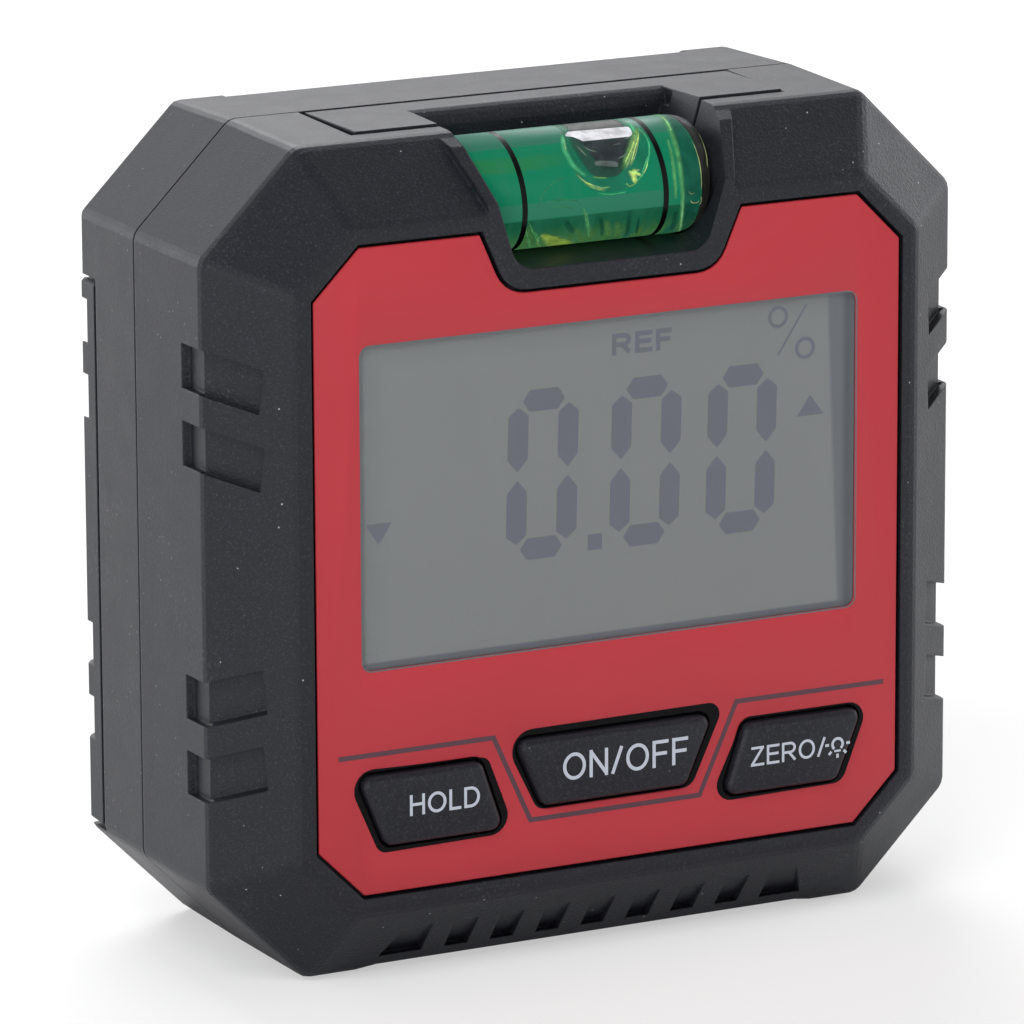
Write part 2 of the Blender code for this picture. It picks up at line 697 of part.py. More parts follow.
def pocket_skirt():
    """The walls inside the front shell that carry the vial's notch back to the holder."""
    half = VIAL_HALF_LENGTH + POCKET_WALL
    low = POCKET_FLOOR - FRONT_WALL
    high = BODY_HEIGHT - WALL / 2
    shape = block((-half, half), (PANEL_SEAT + FRONT_WALL / 2, HOLDER_FRONT - SEAM_GAP), (low, high))
    normal = Vector((0.0, -(FRONT_BEVEL_IN - DRAFT), FRONT_BEVEL_DEPTH)).normalized()
    on_bevel = Vector((0.0, 0.0, BODY_HEIGHT - FRONT_BEVEL_IN))
    return trim(shape, on_bevel - normal * WALL / 2, normal)


def screw_places():
    """The four housing screws, by name."""
    return {
        "low_left": (-SCREW_X, SCREW_LOW),
        "low_right": (SCREW_X, SCREW_LOW),
        "high_left": (-SCREW_X, SCREW_HIGH),
        "high_right": (SCREW_X, SCREW_HIGH),
    }


def build_front_housing(bench, plastic):
    """The front shell: bevelled octagon, window, key holes, vial notch, grips, ribs and posts."""
    back = PARTING_DEPTH - SEAM_GAP / 2
    outer = loft(
        [
            (0.0, body_outline(FRONT_BEVEL_IN)),
            (FRONT_BEVEL_DEPTH, body_outline(DRAFT, foot=0.0)),
            (back, body_outline(0.0, foot=0.0)),
        ]
    )
    shell = bench.add("front_housing", round_edges(outer, back), plastic)
    inner_turn = FRONT_BEVEL_DEPTH * (bevel_inset(0.0, WALL) - WALL - DRAFT) / (FRONT_BEVEL_IN - DRAFT)
    cavity = loft(
        [
            (INNER_FACE, body_outline(bevel_inset(INNER_FACE, WALL))),
            (inner_turn, body_outline(WALL + DRAFT)),
            (back + OVERSHOOT, body_outline(WALL)),
        ]
    )
    bench.cut(shell, cavity)
    bench.join(shell, rim_block(), pocket_skirt())
    frame_half = LCD_HALF_WIDTH + SEAT_GAP + LCD_FRAME_WALL
    frame_low = LCD_FLOOR - SEAT_GAP - LCD_FRAME_WALL
    frame_high = LCD_TOP + SEAT_GAP + LCD_FRAME_WALL
    frame_back = LCD_FRONT + LCD_THICK
    frame = block(
        (-frame_half, frame_half), (PANEL_SEAT + FRONT_WALL / 2, frame_back), (frame_low, frame_high)
    )
    bench.join(shell, frame)
    nest = block(
        (-LCD_HALF_WIDTH - SEAT_GAP, LCD_HALF_WIDTH + SEAT_GAP),
        (INNER_FACE, frame_back + OVERSHOOT),
        (LCD_FLOOR - SEAT_GAP, LCD_TOP + SEAT_GAP),
    )
    bench.cut(shell, nest)
    add_front_posts(bench, shell)
    cut_front_face(bench, shell)
    cut_vial_way(bench, shell)
    bench.cut(shell, foot_relief(), *rib_gaps())
    for height in GRIP_HEIGHTS:
        for side in (-1, 1):
            bench.cut(shell, grip_side_slot(side, height), grip_bevel_slot(side, height))
    return shell


def add_front_posts(bench, shell):
    """Screw posts, board posts and magnet cups inside the front shell."""
    start = PANEL_SEAT + FRONT_WALL * 0.7
    post_back = PARTING_DEPTH - SEAT_GAP
    for place in screw_places().values():
        bench.join(shell, rod("Y", place, POST_RADIUS, start, post_back, SMALL_ROUND_STEPS))
    for side in (-1, 1):
        place = (side * BOARD_SCREW_X, BOARD_SCREW_Z)
        bench.join(
            shell, rod("Y", place, BOARD_POST_RADIUS, start, BOARD_FRONT - SEAT_GAP, SMALL_ROUND_STEPS)
        )
        cup = rod(
            "Z",
            (side * MAGNET_X, MAGNET_DEPTH),
            MAGNET_RADIUS + MAGNET_CUP_WALL,
            WALL / 2,
            FOOT_RELIEF + MAGNET_THICK + MAGNET_CUP_WALL,
            SMALL_ROUND_STEPS,
        )
        bench.join(shell, cup)
    for place in screw_places().values():
        hole = rod(
            "Y", place, SCREW_RADIUS + SEAT_GAP, SCREW_HEAD_DEPTH - SCREW_LENGTH - SEAT_GAP,
            PARTING_DEPTH + OVERSHOOT, SMALL_ROUND_STEPS,
        )
        bench.cut(shell, hole)
    for side in (-1, 1):
        place = (side * BOARD_SCREW_X, BOARD_SCREW_Z)
        tip = BOARD_BACK + SEAT_GAP - BOARD_SCREW_LENGTH - SEAT_GAP
        bench.cut(shell, rod("Y", place, BOARD_SCREW_RADIUS + SEAT_GAP, tip, BOARD_BACK, SMALL_ROUND_STEPS))
        recess = rod(
            "Z",
            (side * MAGNET_X, MAGNET_DEPTH),
            MAGNET_RADIUS + SEAT_GAP,
            -OVERSHOOT,
            FOOT_RELIEF + MAGNET_THICK + 2 * SEAT_GAP,
            SMALL_ROUND_STEPS,
        )
        bench.cut(shell, recess)


def cut_front_face(bench, shell):
    """The panel's seat, the window and the key holes."""
    seat = round_notch(grown(panel_outline(), PANEL_GAP), PANEL_GAP)
    bench.cut(shell, prism(seat, -OVERSHOOT, PANEL_SEAT))
    bench.cut(shell, prism(window_outline(WINDOW_LEDGE), -OVERSHOOT, INNER_FACE + OVERSHOOT / 2))
    for corners in key_outlines().values():
        bench.cut(shell, prism(key_hole(corners), -OVERSHOOT, INNER_FACE + OVERSHOOT / 2))


def cut_vial_way(bench, shell):
    """The vial's notch, its end sockets and the opening that the holder fills."""
    front = -OVERSHOOT
    back = HOLDER_FRONT + OVERSHOOT
    bench.cut(shell, prism(pocket_outline(HOLDER_FRONT), front, back))
    bench.cut(shell, vial_socket())
    low = BODY_HEIGHT - WALL - SEAT_GAP - OVERSHOOT
    opening = block(
        (-HOLDER_HALF_WIDTH - HOLDER_GROOVE / 2, HOLDER_HALF_WIDTH + HOLDER_TIGHT),
        (HOLDER_FRONT - SEAM_GAP, PARTING_DEPTH + OVERSHOOT),
        (low, BODY_HEIGHT + OVERSHOOT),
    )
    bench.cut(shell, opening)


def build_vial_holder(bench, plastic):
    """The insert in the top: a plate flush with the shell, and the rear half of the vial pocket."""
    front = HOLDER_FRONT + SEAM_GAP
    back = PARTING_DEPTH - 1.5 * SEAM_GAP
    top = BODY_HEIGHT - SEAM_GAP / 3
    plate = block(
        (-HOLDER_HALF_WIDTH + HOLDER_GROOVE / 2, HOLDER_HALF_WIDTH),
        (front, back),
        (top - HOLDER_PLATE, top),
    )
    holder = bench.add("vial_holder", plate, plastic)
    tub_half = VIAL_HALF_LENGTH + POCKET_WALL
    tub_back = POCKET_REAR + FRONT_WALL
    tub_heights = (POCKET_FLOOR - FRONT_WALL, top - HOLDER_PLATE / 2)
    tub = block((-tub_half, tub_half), (front, tub_back), tub_heights)
    bench.join(holder, tub)
    near = HOLDER_FRONT - OVERSHOOT
    bench.cut(
        holder,
        loft(
            [
                (near, pocket_outline(near)),
                (HOLDER_FRONT, pocket_outline(HOLDER_FRONT)),
                (POCKET_REAR, pocket_outline(POCKET_REAR)),
            ]
        ),
    )
    bench.cut(holder, vial_socket(), holder_lip())
    return holder


def vial_socket():
    """The round seat of the vial, which runs into the pocket's two side walls."""
    half = VIAL_HALF_LENGTH + SOCKET_GAP
    centre = (VIAL_DEPTH, VIAL_HEIGHT)
    return rod("X", centre, VIAL_RADIUS + SOCKET_GAP, VIAL_MIDDLE - half, VIAL_MIDDLE + half)


def holder_lip():
    """The round-over along the pocket's rear top edge."""
    top = BODY_HEIGHT
    radius = HOLDER_EDGE_ROUND
    half = POCKET_HALF_TOP - POCKET_REAR_IN
    section = [(POCKET_REAR - OVERSHOOT, top + OVERSHOOT), (POCKET_REAR - OVERSHOOT, top - radius)]
    for step in range(ARC_STEPS + 1):
        angle = math.radians(90) * step / ARC_STEPS
        run, rise = radius - radius * math.cos(angle), radius * math.sin(angle)
        section.append((POCKET_REAR + run, top - radius + rise))
    section.append((POCKET_REAR + radius, top + OVERSHOOT))
    shape = bmesh.new()
    ends = [[shape.verts.new((x, y, z)) for y, z in section] for x in (-half, half)]
    count = len(section)
    for index in range(count):
        after = (index + 1) % count
        shape.faces.new((ends[0][index], ends[0][after], ends[1][after], ends[1][index]))
    shape.faces.new(ends[0])
    shape.faces.new(reversed(ends[1]))
    return shape


def build_vial(bench, clear, liquid, plug):
    """The acrylic tube with its two lines, the plug in its open end and the liquid with its bubble."""
    at = (VIAL_MIDDLE, VIAL_DEPTH, VIAL_HEIGHT)
    centre = (VIAL_DEPTH, VIAL_HEIGHT)
    left, right = VIAL_MIDDLE - VIAL_HALF_LENGTH, VIAL_MIDDLE + VIAL_HALF_LENGTH
    tube = bench.add("vial_tube", rod("X", centre, VIAL_RADIUS, left, right), clear, at, True)
    bore_start = left + VIAL_END_WALL
    bench.cut(tube, rod("X", centre, VIAL_BORE, bore_start, right + OVERSHOOT))
    for side in (-1, 1):
        middle = VIAL_MIDDLE + side * VIAL_LINE_AT
        start, end = middle - VIAL_LINE_WIDTH / 2, middle + VIAL_LINE_WIDTH / 2
        band = rod("X", centre, VIAL_RADIUS + OVERSHOOT, start, end)
        inner = rod("X", centre, VIAL_RADIUS - VIAL_LINE_DEPTH, start - OVERSHOOT, end + OVERSHOOT)
        bench.cut(tube, ring_of(band, inner))
    plug_start = right - VIAL_PLUG_LENGTH
    bench.add("vial_plug", rod("X", centre, VIAL_BORE - SEAT_GAP, plug_start, right), plug, at, True)
    fill = bench.add(
        "vial_liquid",
        rod("X", centre, VIAL_BORE - SEAT_GAP, bore_start + SEAT_GAP, plug_start - SEAT_GAP),
        liquid,
        at,
        True,
    )
    bubble = bmesh.new()
    bmesh.ops.create_uvsphere(bubble, u_segments=24, v_segments=12, radius=1.0)
    top = VIAL_HEIGHT + VIAL_BORE - SEAT_GAP
    scale = Matrix.Diagonal((BUBBLE_HALF_LENGTH, BUBBLE_HALF_WIDTH, BUBBLE_DROP, 1.0))
    placed = Matrix.Translation((0.0, VIAL_DEPTH, top)) @ scale
    bmesh.ops.transform(bubble, matrix=placed, verts=bubble.verts)
    bench.cut(fill, bubble)


def ring_of(outer, inner):
    """A ring between two coaxial rods, as one closed shape: the outer one with the inner as a hole."""
    radius_out = max(Vector((v.co.y - VIAL_DEPTH, v.co.z - VIAL_HEIGHT)).length for v in outer.verts)
    radius_in = max(Vector((v.co.y - VIAL_DEPTH, v.co.z - VIAL_HEIGHT)).length for v in inner.verts)
    start = min(v.co.x for v in outer.verts)
    end = max(v.co.x for v in outer.verts)
    outer.free()
    inner.free()
    shape = bmesh.new()
    corners = ((start, radius_in), (end, radius_in), (end, radius_out), (start, radius_out))
    hoops = []
    for x, radius in corners:
        hoop = []
        for step in range(ROUND_STEPS):
            angle = 2 * math.pi * step / ROUND_STEPS
            y = VIAL_DEPTH + radius * math.cos(angle)
            z = VIAL_HEIGHT + radius * math.sin(angle)
            hoop.append(shape.verts.new((x, y, z)))
        hoops.append(hoop)
    for index, hoop in enumerate(hoops):
        beyond = hoops[(index + 1) % 4]
        for step in range(ROUND_STEPS):
            after = (step + 1) % ROUND_STEPS
            shape.faces.new((hoop[step], hoop[after], beyond[after], beyond[step]))
    return shape


def build_face(bench, red, clear):
    """The red face panel and the clear window that sits flush in it."""
    panel = bench.add(
        "face_panel", prism(round_notch(panel_outline()), PANEL_SUNK, PANEL_BACK), red
    )
    bench.cut(panel, prism(window_outline(), -OVERSHOOT, PANEL_BACK + OVERSHOOT))
    for corners in key_outlines().values():
        bench.cut(panel, prism(key_hole(corners), -OVERSHOOT, PANEL_BACK + OVERSHOOT))
    bench.add("display_window", prism(window_outline(SEAM_GAP), PANEL_SUNK, PANEL_BACK), clear)


def build_keys(bench, key_plastic, switch_body, switch_tip):
    """Three keys with a lip behind the front wall, and the switch that each one presses."""
    for name, corners in key_outlines().items():
        x, z = key_middle(corners)
        front = -KEY_PROUD
        side = -KEY_GAP
        midway = KEY_EDGE * (1 - math.cos(math.radians(45)))
        profile = [
            (front, side - KEY_EDGE),
            (front + midway, side - midway),
            (front + KEY_EDGE, side),
            (KEY_LIP_FRONT, side),
            (KEY_LIP_FRONT, KEY_LIP),
            (KEY_BACK, KEY_LIP),
        ]
        shape = loft([(depth, key_hole(corners, grow)) for depth, grow in profile])
        bench.add(f"key_{name}", shape, key_plastic, (x, front, z))
        half = SWITCH_SIDE / 2
        body = bench.add(
            f"switch_{name}",
            block((x - half, x + half), (SWITCH_FRONT, SWITCH_BACK), (z - half, z + half)),
            switch_body,
        )
        tip_front = KEY_BACK + SEAT_GAP
        tip_back = SWITCH_FRONT + KEY_TRAVEL + SEAT_GAP
        bore_back = tip_back + KEY_TRAVEL + SEAT_GAP
        bore = PLUNGER_RADIUS + SEAT_GAP
        bench.cut(body, rod("Y", (x, z), bore, SWITCH_FRONT - OVERSHOOT, bore_back, SMALL_ROUND_STEPS))
        bench.add(
            f"plunger_{name}",
            rod("Y", (x, z), PLUNGER_RADIUS, tip_front, tip_back, SMALL_ROUND_STEPS),
            switch_tip,
            (x, tip_front, z),
            True,
        )


def build_display(bench, glass, light, strip):
    """The display glass, the light plate behind it and the connector strip down to the board."""
    bench.add(
        "lcd_glass",
        block((-LCD_HALF_WIDTH, LCD_HALF_WIDTH), (LCD_FRONT, LCD_FRONT + LCD_THICK), (LCD_FLOOR, LCD_TOP)),
        glass,
    )
    bench.add(
        "backlight_plate",
        block(
            (-LIGHT_HALF_WIDTH, LIGHT_HALF_WIDTH),
            (LIGHT_FRONT, LIGHT_FRONT + LIGHT_THICK),
            (LIGHT_FLOOR, LCD_TOP),
        ),
        light,
    )
    bench.add(
        "lcd_connector",
        block(
            (-STRIP_HALF_LENGTH, STRIP_HALF_LENGTH),
            (LIGHT_FRONT, BOARD_FRONT - SEAT_GAP),
            (LCD_FLOOR, LCD_FLOOR + STRIP_HEIGHT),
        ),
        strip,
    )


def build_board(bench, board_green, chip_black, led_white, steel):
    """The circuit board with its chip, tilt sensor and display lamp, and its two screws."""
    board = bench.add(
        "circuit_board",
        block((-BOARD_HALF_WIDTH, BOARD_HALF_WIDTH), (BOARD_FRONT, BOARD_BACK), (BOARD_FLOOR, BOARD_TOP)),
        board_green,
    )
    seated = BOARD_FRONT - SEAT_GAP
    for name, x, side in (("main_chip", -CHIP_X, CHIP_SIDE), ("tilt_sensor", CHIP_X, SENSOR_SIDE)):
        half = side / 2
        bench.add(
            name,
            block((x - half, x + half), (seated - CHIP_THICK, seated), (CHIP_Z - half, CHIP_Z + half)),
            chip_black,
        )
    led_x = LIGHT_HALF_WIDTH + SEAT_GAP
    middle = (LIGHT_FLOOR + LCD_TOP) / 2
    bench.add(
        "backlight_led",
        block(
            (led_x, led_x + LED_WIDTH),
            (seated - LED_THICK, seated),
            (middle - LED_LENGTH / 2, middle + LED_LENGTH / 2),
        ),
        led_white,
    )
    for name, side in (("left", -1), ("right", 1)):
        place = (side * BOARD_SCREW_X, BOARD_SCREW_Z)
        bench.cut(
            board,
            rod(
                "Y",
                place,
                BOARD_SCREW_RADIUS + SEAT_GAP,
                BOARD_FRONT - OVERSHOOT,
                BOARD_BACK + OVERSHOOT,
                SMALL_ROUND_STEPS,
            ),
        )
        head = BOARD_BACK + SEAT_GAP
        screw = bench.add(
            f"board_screw_{name}",
            rod("Y", place, BOARD_SCREW_HEAD, head, head + BAY_WALL / 2, SMALL_ROUND_STEPS),
            steel,
        )
        bench.join(
            screw,
            rod(
                "Y",
                place,
                BOARD_SCREW_RADIUS,
                head - BOARD_SCREW_LENGTH,
                head + BAY_WALL / 4,
                SMALL_ROUND_STEPS,
            ),
        )


def build_rear_housing(bench, plastic):
    """The rear shell: the recess for the cover, the battery bay and the screw seats."""
    front = PARTING_DEPTH + SEAM_GAP / 2
    outer = loft([(front, body_outline(0.0, foot=0.0)), (BODY_DEPTH, body_outline(DRAFT, foot=0.0))])
    shell = bench.add("rear_housing", round_edges(outer, front), plastic)
    inner_back = BACK_SEAT - WALL
    hollow = [(front - OVERSHOOT, body_outline(WALL)), (inner_back, body_outline(WALL + DRAFT))]
    bench.cut(shell, loft(hollow))
    for low, high in (
        (COVER_TOP + WALL, BODY_HEIGHT - WALL - DRAFT),
        (WALL, COVER_FLOOR - WALL),
    ):
        half = HALF_WIDTH - CORNER_CUT - WALL
        bench.cut(shell, block((-half, half), (inner_back - OVERSHOOT, BODY_DEPTH - WALL), (low, high)))
    tub = block(
        (-BAY_HALF_LENGTH - BAY_WALL, BAY_HALF_LENGTH + BAY_WALL),
        (BAY_FLOOR_DEPTH - BAY_WALL, BACK_SEAT - WALL / 2),
        (BAY_MIDDLE - BAY_HALF_HEIGHT - BAY_WALL, BAY_MIDDLE + BAY_HALF_HEIGHT + BAY_WALL),
    )
    bench.join(shell, tub)
    post_start, post_end = PARTING_DEPTH + SEAT_GAP, BACK_SEAT - WALL / 2
    for place in screw_places().values():
        bench.join(shell, rod("Y", place, POST_RADIUS, post_start, post_end, SMALL_ROUND_STEPS))
    wide = HALF_WIDTH + OVERSHOOT
    recess = block(
        (-wide, wide), (BACK_SEAT, BODY_DEPTH + OVERSHOOT), (COVER_FLOOR - COVER_GAP, COVER_TOP + COVER_GAP)
    )
    bay = block(
        (-BAY_HALF_LENGTH, BAY_HALF_LENGTH),
        (BAY_FLOOR_DEPTH, BODY_DEPTH),
        (BAY_MIDDLE - BAY_HALF_HEIGHT, BAY_MIDDLE + BAY_HALF_HEIGHT),
    )
    bench.cut(shell, recess, bay)
    clearance = SCREW_RADIUS + SEAT_GAP
    for place in screw_places().values():
        bench.cut(
            shell,
            rod("Y", place, clearance, PARTING_DEPTH - OVERSHOOT, BODY_DEPTH, SMALL_ROUND_STEPS),
            rod(
                "Y",
                place,
                SCREW_HEAD_RADIUS + SEAT_GAP,
                SCREW_HEAD_DEPTH - SEAT_GAP,
                BODY_DEPTH,
                SMALL_ROUND_STEPS,
            ),
        )
    bench.cut(shell, foot_relief(), top_relief(), finger_scoop())
    return shell


def top_relief():
    """The long shallow cut in the rear top edge, with sloping ends."""
    half = TOP_RELIEF_HALF
    drop = TOP_RELIEF_DROP
    depth = TOP_RELIEF_DEPTH
    top = BODY_HEIGHT
    above = OVERSHOOT
    rise = above * depth / drop
    shape = bmesh.new()
    section = [
        (BODY_DEPTH - depth - rise, top + above, above),
        (BODY_DEPTH + rise, top - drop - above * drop / depth * rise / above, -drop),
        (BODY_DEPTH + rise, top + above, above),
    ]
    ends = []
    for side in (-1, 1):
        ends.append([shape.verts.new((side * (half + lift), y, z)) for y, z, lift in section])
    for index in range(3):
        after = (index + 1) % 3
        shape.faces.new((ends[0][index], ends[0][after], ends[1][after], ends[1][index]))
    shape.faces.new(ends[0])
    shape.faces.new(reversed(ends[1]))
    return shape


def finger_scoop():
    """A shallow round scoop above the cover, where a fingernail lifts it."""
    centre = (0.0, COVER_TOP)
    return rod("Y", centre, FINGER_RADIUS, BODY_DEPTH - FINGER_DEPTH, BODY_DEPTH + OVERSHOOT)


def build_battery_cover(bench, plastic):
    """The cover across the back, with grips in its edges and two rails that locate it in the bay."""
    half_front = HALF_WIDTH - DRAFT * (COVER_FRONT - PARTING_DEPTH) / (BODY_DEPTH - PARTING_DEPTH)
    half_back = HALF_WIDTH - DRAFT
    outlines = [
        [(-half, COVER_FLOOR), (half, COVER_FLOOR), (half, COVER_TOP), (-half, COVER_TOP)]
        for half in (half_front, half_back)
    ]
    plate = loft([(COVER_FRONT, outlines[0]), (BODY_DEPTH, outlines[1])])
    middle = (0.0, COVER_FRONT, (COVER_FLOOR + COVER_TOP) / 2)
    cover = bench.add("battery_cover", round_edges(plate, COVER_FRONT, EDGE_ROUND / 2, 1), plastic, middle)
    for side in (-1, 1):
        outer = BAY_MIDDLE + side * (BAY_HALF_HEIGHT - SEAT_GAP)
        inner = outer - side * COVER_RAIL
        bench.join(
            cover,
            block(
                (-COVER_RAIL_HALF, COVER_RAIL_HALF),
                (COVER_FRONT - COVER_RAIL_DEPTH, COVER_FRONT + COVER_THICK / 2),
                (min(outer, inner), max(outer, inner)),
            ),
        )
    for height in GRIP_HEIGHTS:
        for side in (-1, 1):
            bench.cut(cover, rear_grip(side, height))
    return cover


def build_cells(bench, wrap):
    """Two cells one above the other, with their studs at opposite ends."""
    for name, level, side in (("lower", -1, -1), ("upper", 1, 1)):
        centre = (CELL_DEPTH, BAY_MIDDLE + level * CELL_RISE)
        stud_end = side * (BAY_HALF_LENGTH - CONTACT_THICK - 2 * SEAT_GAP)
        shoulder = stud_end - side * CELL_NUB_LENGTH
        base = shoulder - side * CELL_LENGTH
        cell = bench.add(
            f"battery_{name}",
            rod("X", centre, CELL_RADIUS, min(shoulder, base), max(shoulder, base), SMALL_ROUND_STEPS),
            wrap,
            ((shoulder + base) / 2, *centre),
            True,
        )
        inside = shoulder - side * CELL_NUB_LENGTH
        low, high = min(stud_end, inside), max(stud_end, inside)
        bench.join(cell, rod("X", centre, CELL_NUB_RADIUS, low, high, SMALL_ROUND_STEPS))


def build_contacts(bench, nickel):
    """The bridge at the left, the two single contacts at the right, and the springs on them."""
    outer = BAY_HALF_LENGTH - SEAT_GAP
    inner = outer - CONTACT_THICK
    half = CONTACT_HEIGHT / 2
    near, far = CELL_DEPTH - half, CELL_DEPTH + half
    low, high = BAY_MIDDLE - CELL_RISE, BAY_MIDDLE + CELL_RISE
    bench.add("contact_bridge", block((-outer, -inner), (near, far), (low - half, high + half)), nickel)
    bench.add("contact_minus", block((inner, outer), (near, far), (low - half, low + half)), nickel)
    bench.add("contact_plus", block((inner, outer), (near, far), (high - half, high + half)), nickel)
    for name, height, side in (("left", high, -1), ("right", low, 1)):
        start = side * (inner - SEAT_GAP - SPRING_WIRE)
        end = side * (inner - SPRING_LENGTH + SPRING_WIRE)
        add_spring(bench, f"battery_spring_{name}", start, end, height, nickel)


def add_spring(bench, name, start, end, height, metal):
    """A cone of wire that turns from the contact to the flat end of a cell."""
    steps = SPRING_TURNS * 10
    points = []
    for step in range(steps + 1):
        share = step / steps
        angle = 2 * math.pi * SPRING_TURNS * share
        radius = SPRING_RADIUS * (1 - 0.45 * share)
        points.append(
            (
                start + (end - start) * share,
                CELL_DEPTH + radius * math.cos(angle),
                height + radius * math.sin(angle),
            )
        )
    curve = bpy.data.curves.new(name, "CURVE")
    curve.dimensions = "3D"
    curve.bevel_depth = SPRING_WIRE
    curve.bevel_resolution = 1
    curve.use_fill_caps = True
    spline = curve.splines.new("POLY")
    spline.points.add(len(points) - 1)
    for target, point in zip(spline.points, points):
        target.co = (*point, 1.0)
    curve.materials.append(metal)
    spring = bpy.data.objects.new(name, curve)
    spring.parent = bench.carrier
    bpy.context.scene.collection.objects.link(spring)


def build_fasteners(bench, steel, nickel):
    """Four housing screws from the back, and the two magnets in the base."""
    head_end = SCREW_HEAD_DEPTH + SCREW_HEAD_THICK
    shank = (SCREW_HEAD_DEPTH - SCREW_LENGTH, SCREW_HEAD_DEPTH + SCREW_HEAD_THICK / 2)
    for name, place in screw_places().items():
        head = rod("Y", place, SCREW_HEAD_RADIUS, SCREW_HEAD_DEPTH, head_end, SMALL_ROUND_STEPS)
        screw = bench.add(f"housing_screw_{name}", head, steel)
        bench.join(screw, rod("Y", place, SCREW_RADIUS, *shank, SMALL_ROUND_STEPS))
        arm = SCREW_HEAD_RADIUS * 0.6
        thin = SCREW_RADIUS * 0.25
        x, z = place
        for wide, tall in ((arm, thin), (thin, arm)):
            slot = block(
                (x - wide, x + wide),
                (SCREW_HEAD_DEPTH + SCREW_HEAD_THICK / 3, head_end + OVERSHOOT),
                (z - tall, z + tall),
            )
            bench.cut(screw, slot)
    for name, side in (("left", -1), ("right", 1)):
        low = FOOT_RELIEF + SEAM_GAP
        at = (side * MAGNET_X, MAGNET_DEPTH)
        disc = rod("Z", at, MAGNET_RADIUS, low, low + MAGNET_THICK, SMALL_ROUND_STEPS)
        bench.add(f"base_magnet_{name}", disc, nickel, smooth=True)


def main():
    """Clear the scene and build every piece."""
    clear_scene()
    bench = Workbench()
    black = make_material("housing_plastic", (0.030, 0.031, 0.034), 0.55)
    red = make_material("panel_red", (0.50, 0.040, 0.052), 0.42)
    clear = make_material("clear_acrylic", (0.85, 0.88, 0.88), 0.05, transmission=0.9)
    green = make_material("vial_green", (0.010, 0.250, 0.120), 0.08, transmission=0.6)
    key_black = make_material("key_plastic", (0.016, 0.017, 0.019), 0.38)
    display = make_material("lcd_grey", (0.20, 0.22, 0.20), 0.20)
    white = make_material("light_plate_white", (0.70, 0.72, 0.70), 0.35)
    rubber = make_material("connector_rubber", (0.10, 0.10, 0.11), 0.75)
    board = make_material("board_green", (0.012, 0.110, 0.045), 0.45)
    chip = make_material("chip_black", (0.012, 0.012, 0.013), 0.50)
    steel = make_material("screw_steel", (0.45, 0.45, 0.46), 0.32, metallic=1.0)
    nickel = make_material("contact_nickel", (0.62, 0.61, 0.58), 0.25, metallic=1.0)
    wrap = make_material("cell_wrap", (0.030, 0.060, 0.160), 0.35)
    build_front_housing(bench, black)
    build_rear_housing(bench, black)
    build_battery_cover(bench, black)
    build_vial_holder(bench, black)
    build_vial(bench, clear, green, key_black)
    build_face(bench, red, clear)
    build_keys(bench, key_black, chip, white)
    build_display(bench, display, white, rubber)
    build_board(bench, board, chip, white, steel)
    build_cells(bench, wrap)
    build_contacts(bench, nickel)
    build_fasteners(bench, steel, nickel)


main()
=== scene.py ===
"""Looks of the digital angle gauge: finishes, prints, display, vial, studio and camera.

Metres, +Z up, front towards -Y. A depth is measured back from the plane of the front ring, as in the
solids. Sizes in millimetres are written with MM.
"""

import json
import logging
import math
from dataclasses import dataclass
from enum import Enum

import bmesh
import bpy
import numpy as np
from mathutils import Matrix, Vector


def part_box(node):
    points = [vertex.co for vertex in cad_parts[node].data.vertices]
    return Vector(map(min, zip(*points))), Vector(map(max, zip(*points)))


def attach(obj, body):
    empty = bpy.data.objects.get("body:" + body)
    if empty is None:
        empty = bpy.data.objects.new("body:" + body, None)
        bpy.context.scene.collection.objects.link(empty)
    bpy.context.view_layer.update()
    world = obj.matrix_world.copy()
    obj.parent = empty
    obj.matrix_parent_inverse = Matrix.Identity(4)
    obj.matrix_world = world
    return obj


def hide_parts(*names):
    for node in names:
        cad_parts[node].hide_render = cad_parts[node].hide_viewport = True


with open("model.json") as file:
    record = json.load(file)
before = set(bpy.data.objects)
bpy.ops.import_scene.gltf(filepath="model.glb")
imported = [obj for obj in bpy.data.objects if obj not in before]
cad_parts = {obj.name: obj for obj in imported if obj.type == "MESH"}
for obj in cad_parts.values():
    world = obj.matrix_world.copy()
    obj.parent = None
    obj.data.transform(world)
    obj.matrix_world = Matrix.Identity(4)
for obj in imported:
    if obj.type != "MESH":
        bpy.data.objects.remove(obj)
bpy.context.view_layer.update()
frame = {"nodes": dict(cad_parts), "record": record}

MM = 0.001
MERGE = 0.0005 * MM
MITRE_LIMIT = 0.3
RING_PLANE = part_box("front_housing")[0].y
log = logging.getLogger("angle_gauge")

Pair = tuple[float, float]
Triple = tuple[float, float, float]
Limits = Pair
Colour = Triple
Knots = tuple[Pair, ...]
Points = np.ndarray
Part = tuple[Points, list[list[int]]]


class Body(Enum):
    """The bodies that pieces ride on."""

    GAUGE = "gauge"
    HOLD = "hold_key"
    ON_OFF = "on_off_key"
    ZERO = "zero_key"


class Slot(Enum):
    """The record's material slots that pieces take their finish from."""

    HOUSING = "housing"
    PANEL = "panel_red"
    CLEAR = "clear"
    VIAL = "vial_green"
    KEYS = "keys"
    DISPLAY = "lcd"
    WHITE = "white_plastic"
    CONNECTOR = "connector"
    BOARD = "board"
    CHIP = "chip_black"
    STEEL = "steel"
    NICKEL = "nickel"
    SLEEVE = "cell_wrap"


class Lie(Enum):
    """Which way a hexagonal display segment lies."""

    UPRIGHT = "upright"
    LEVEL = "level"


def depth(value: float) -> float:
    """World Y of a depth behind the plane of the front ring."""
    return RING_PLANE + value


def face_of(node: str) -> float:
    """World Y of the front face of a solid."""
    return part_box(node)[0].y


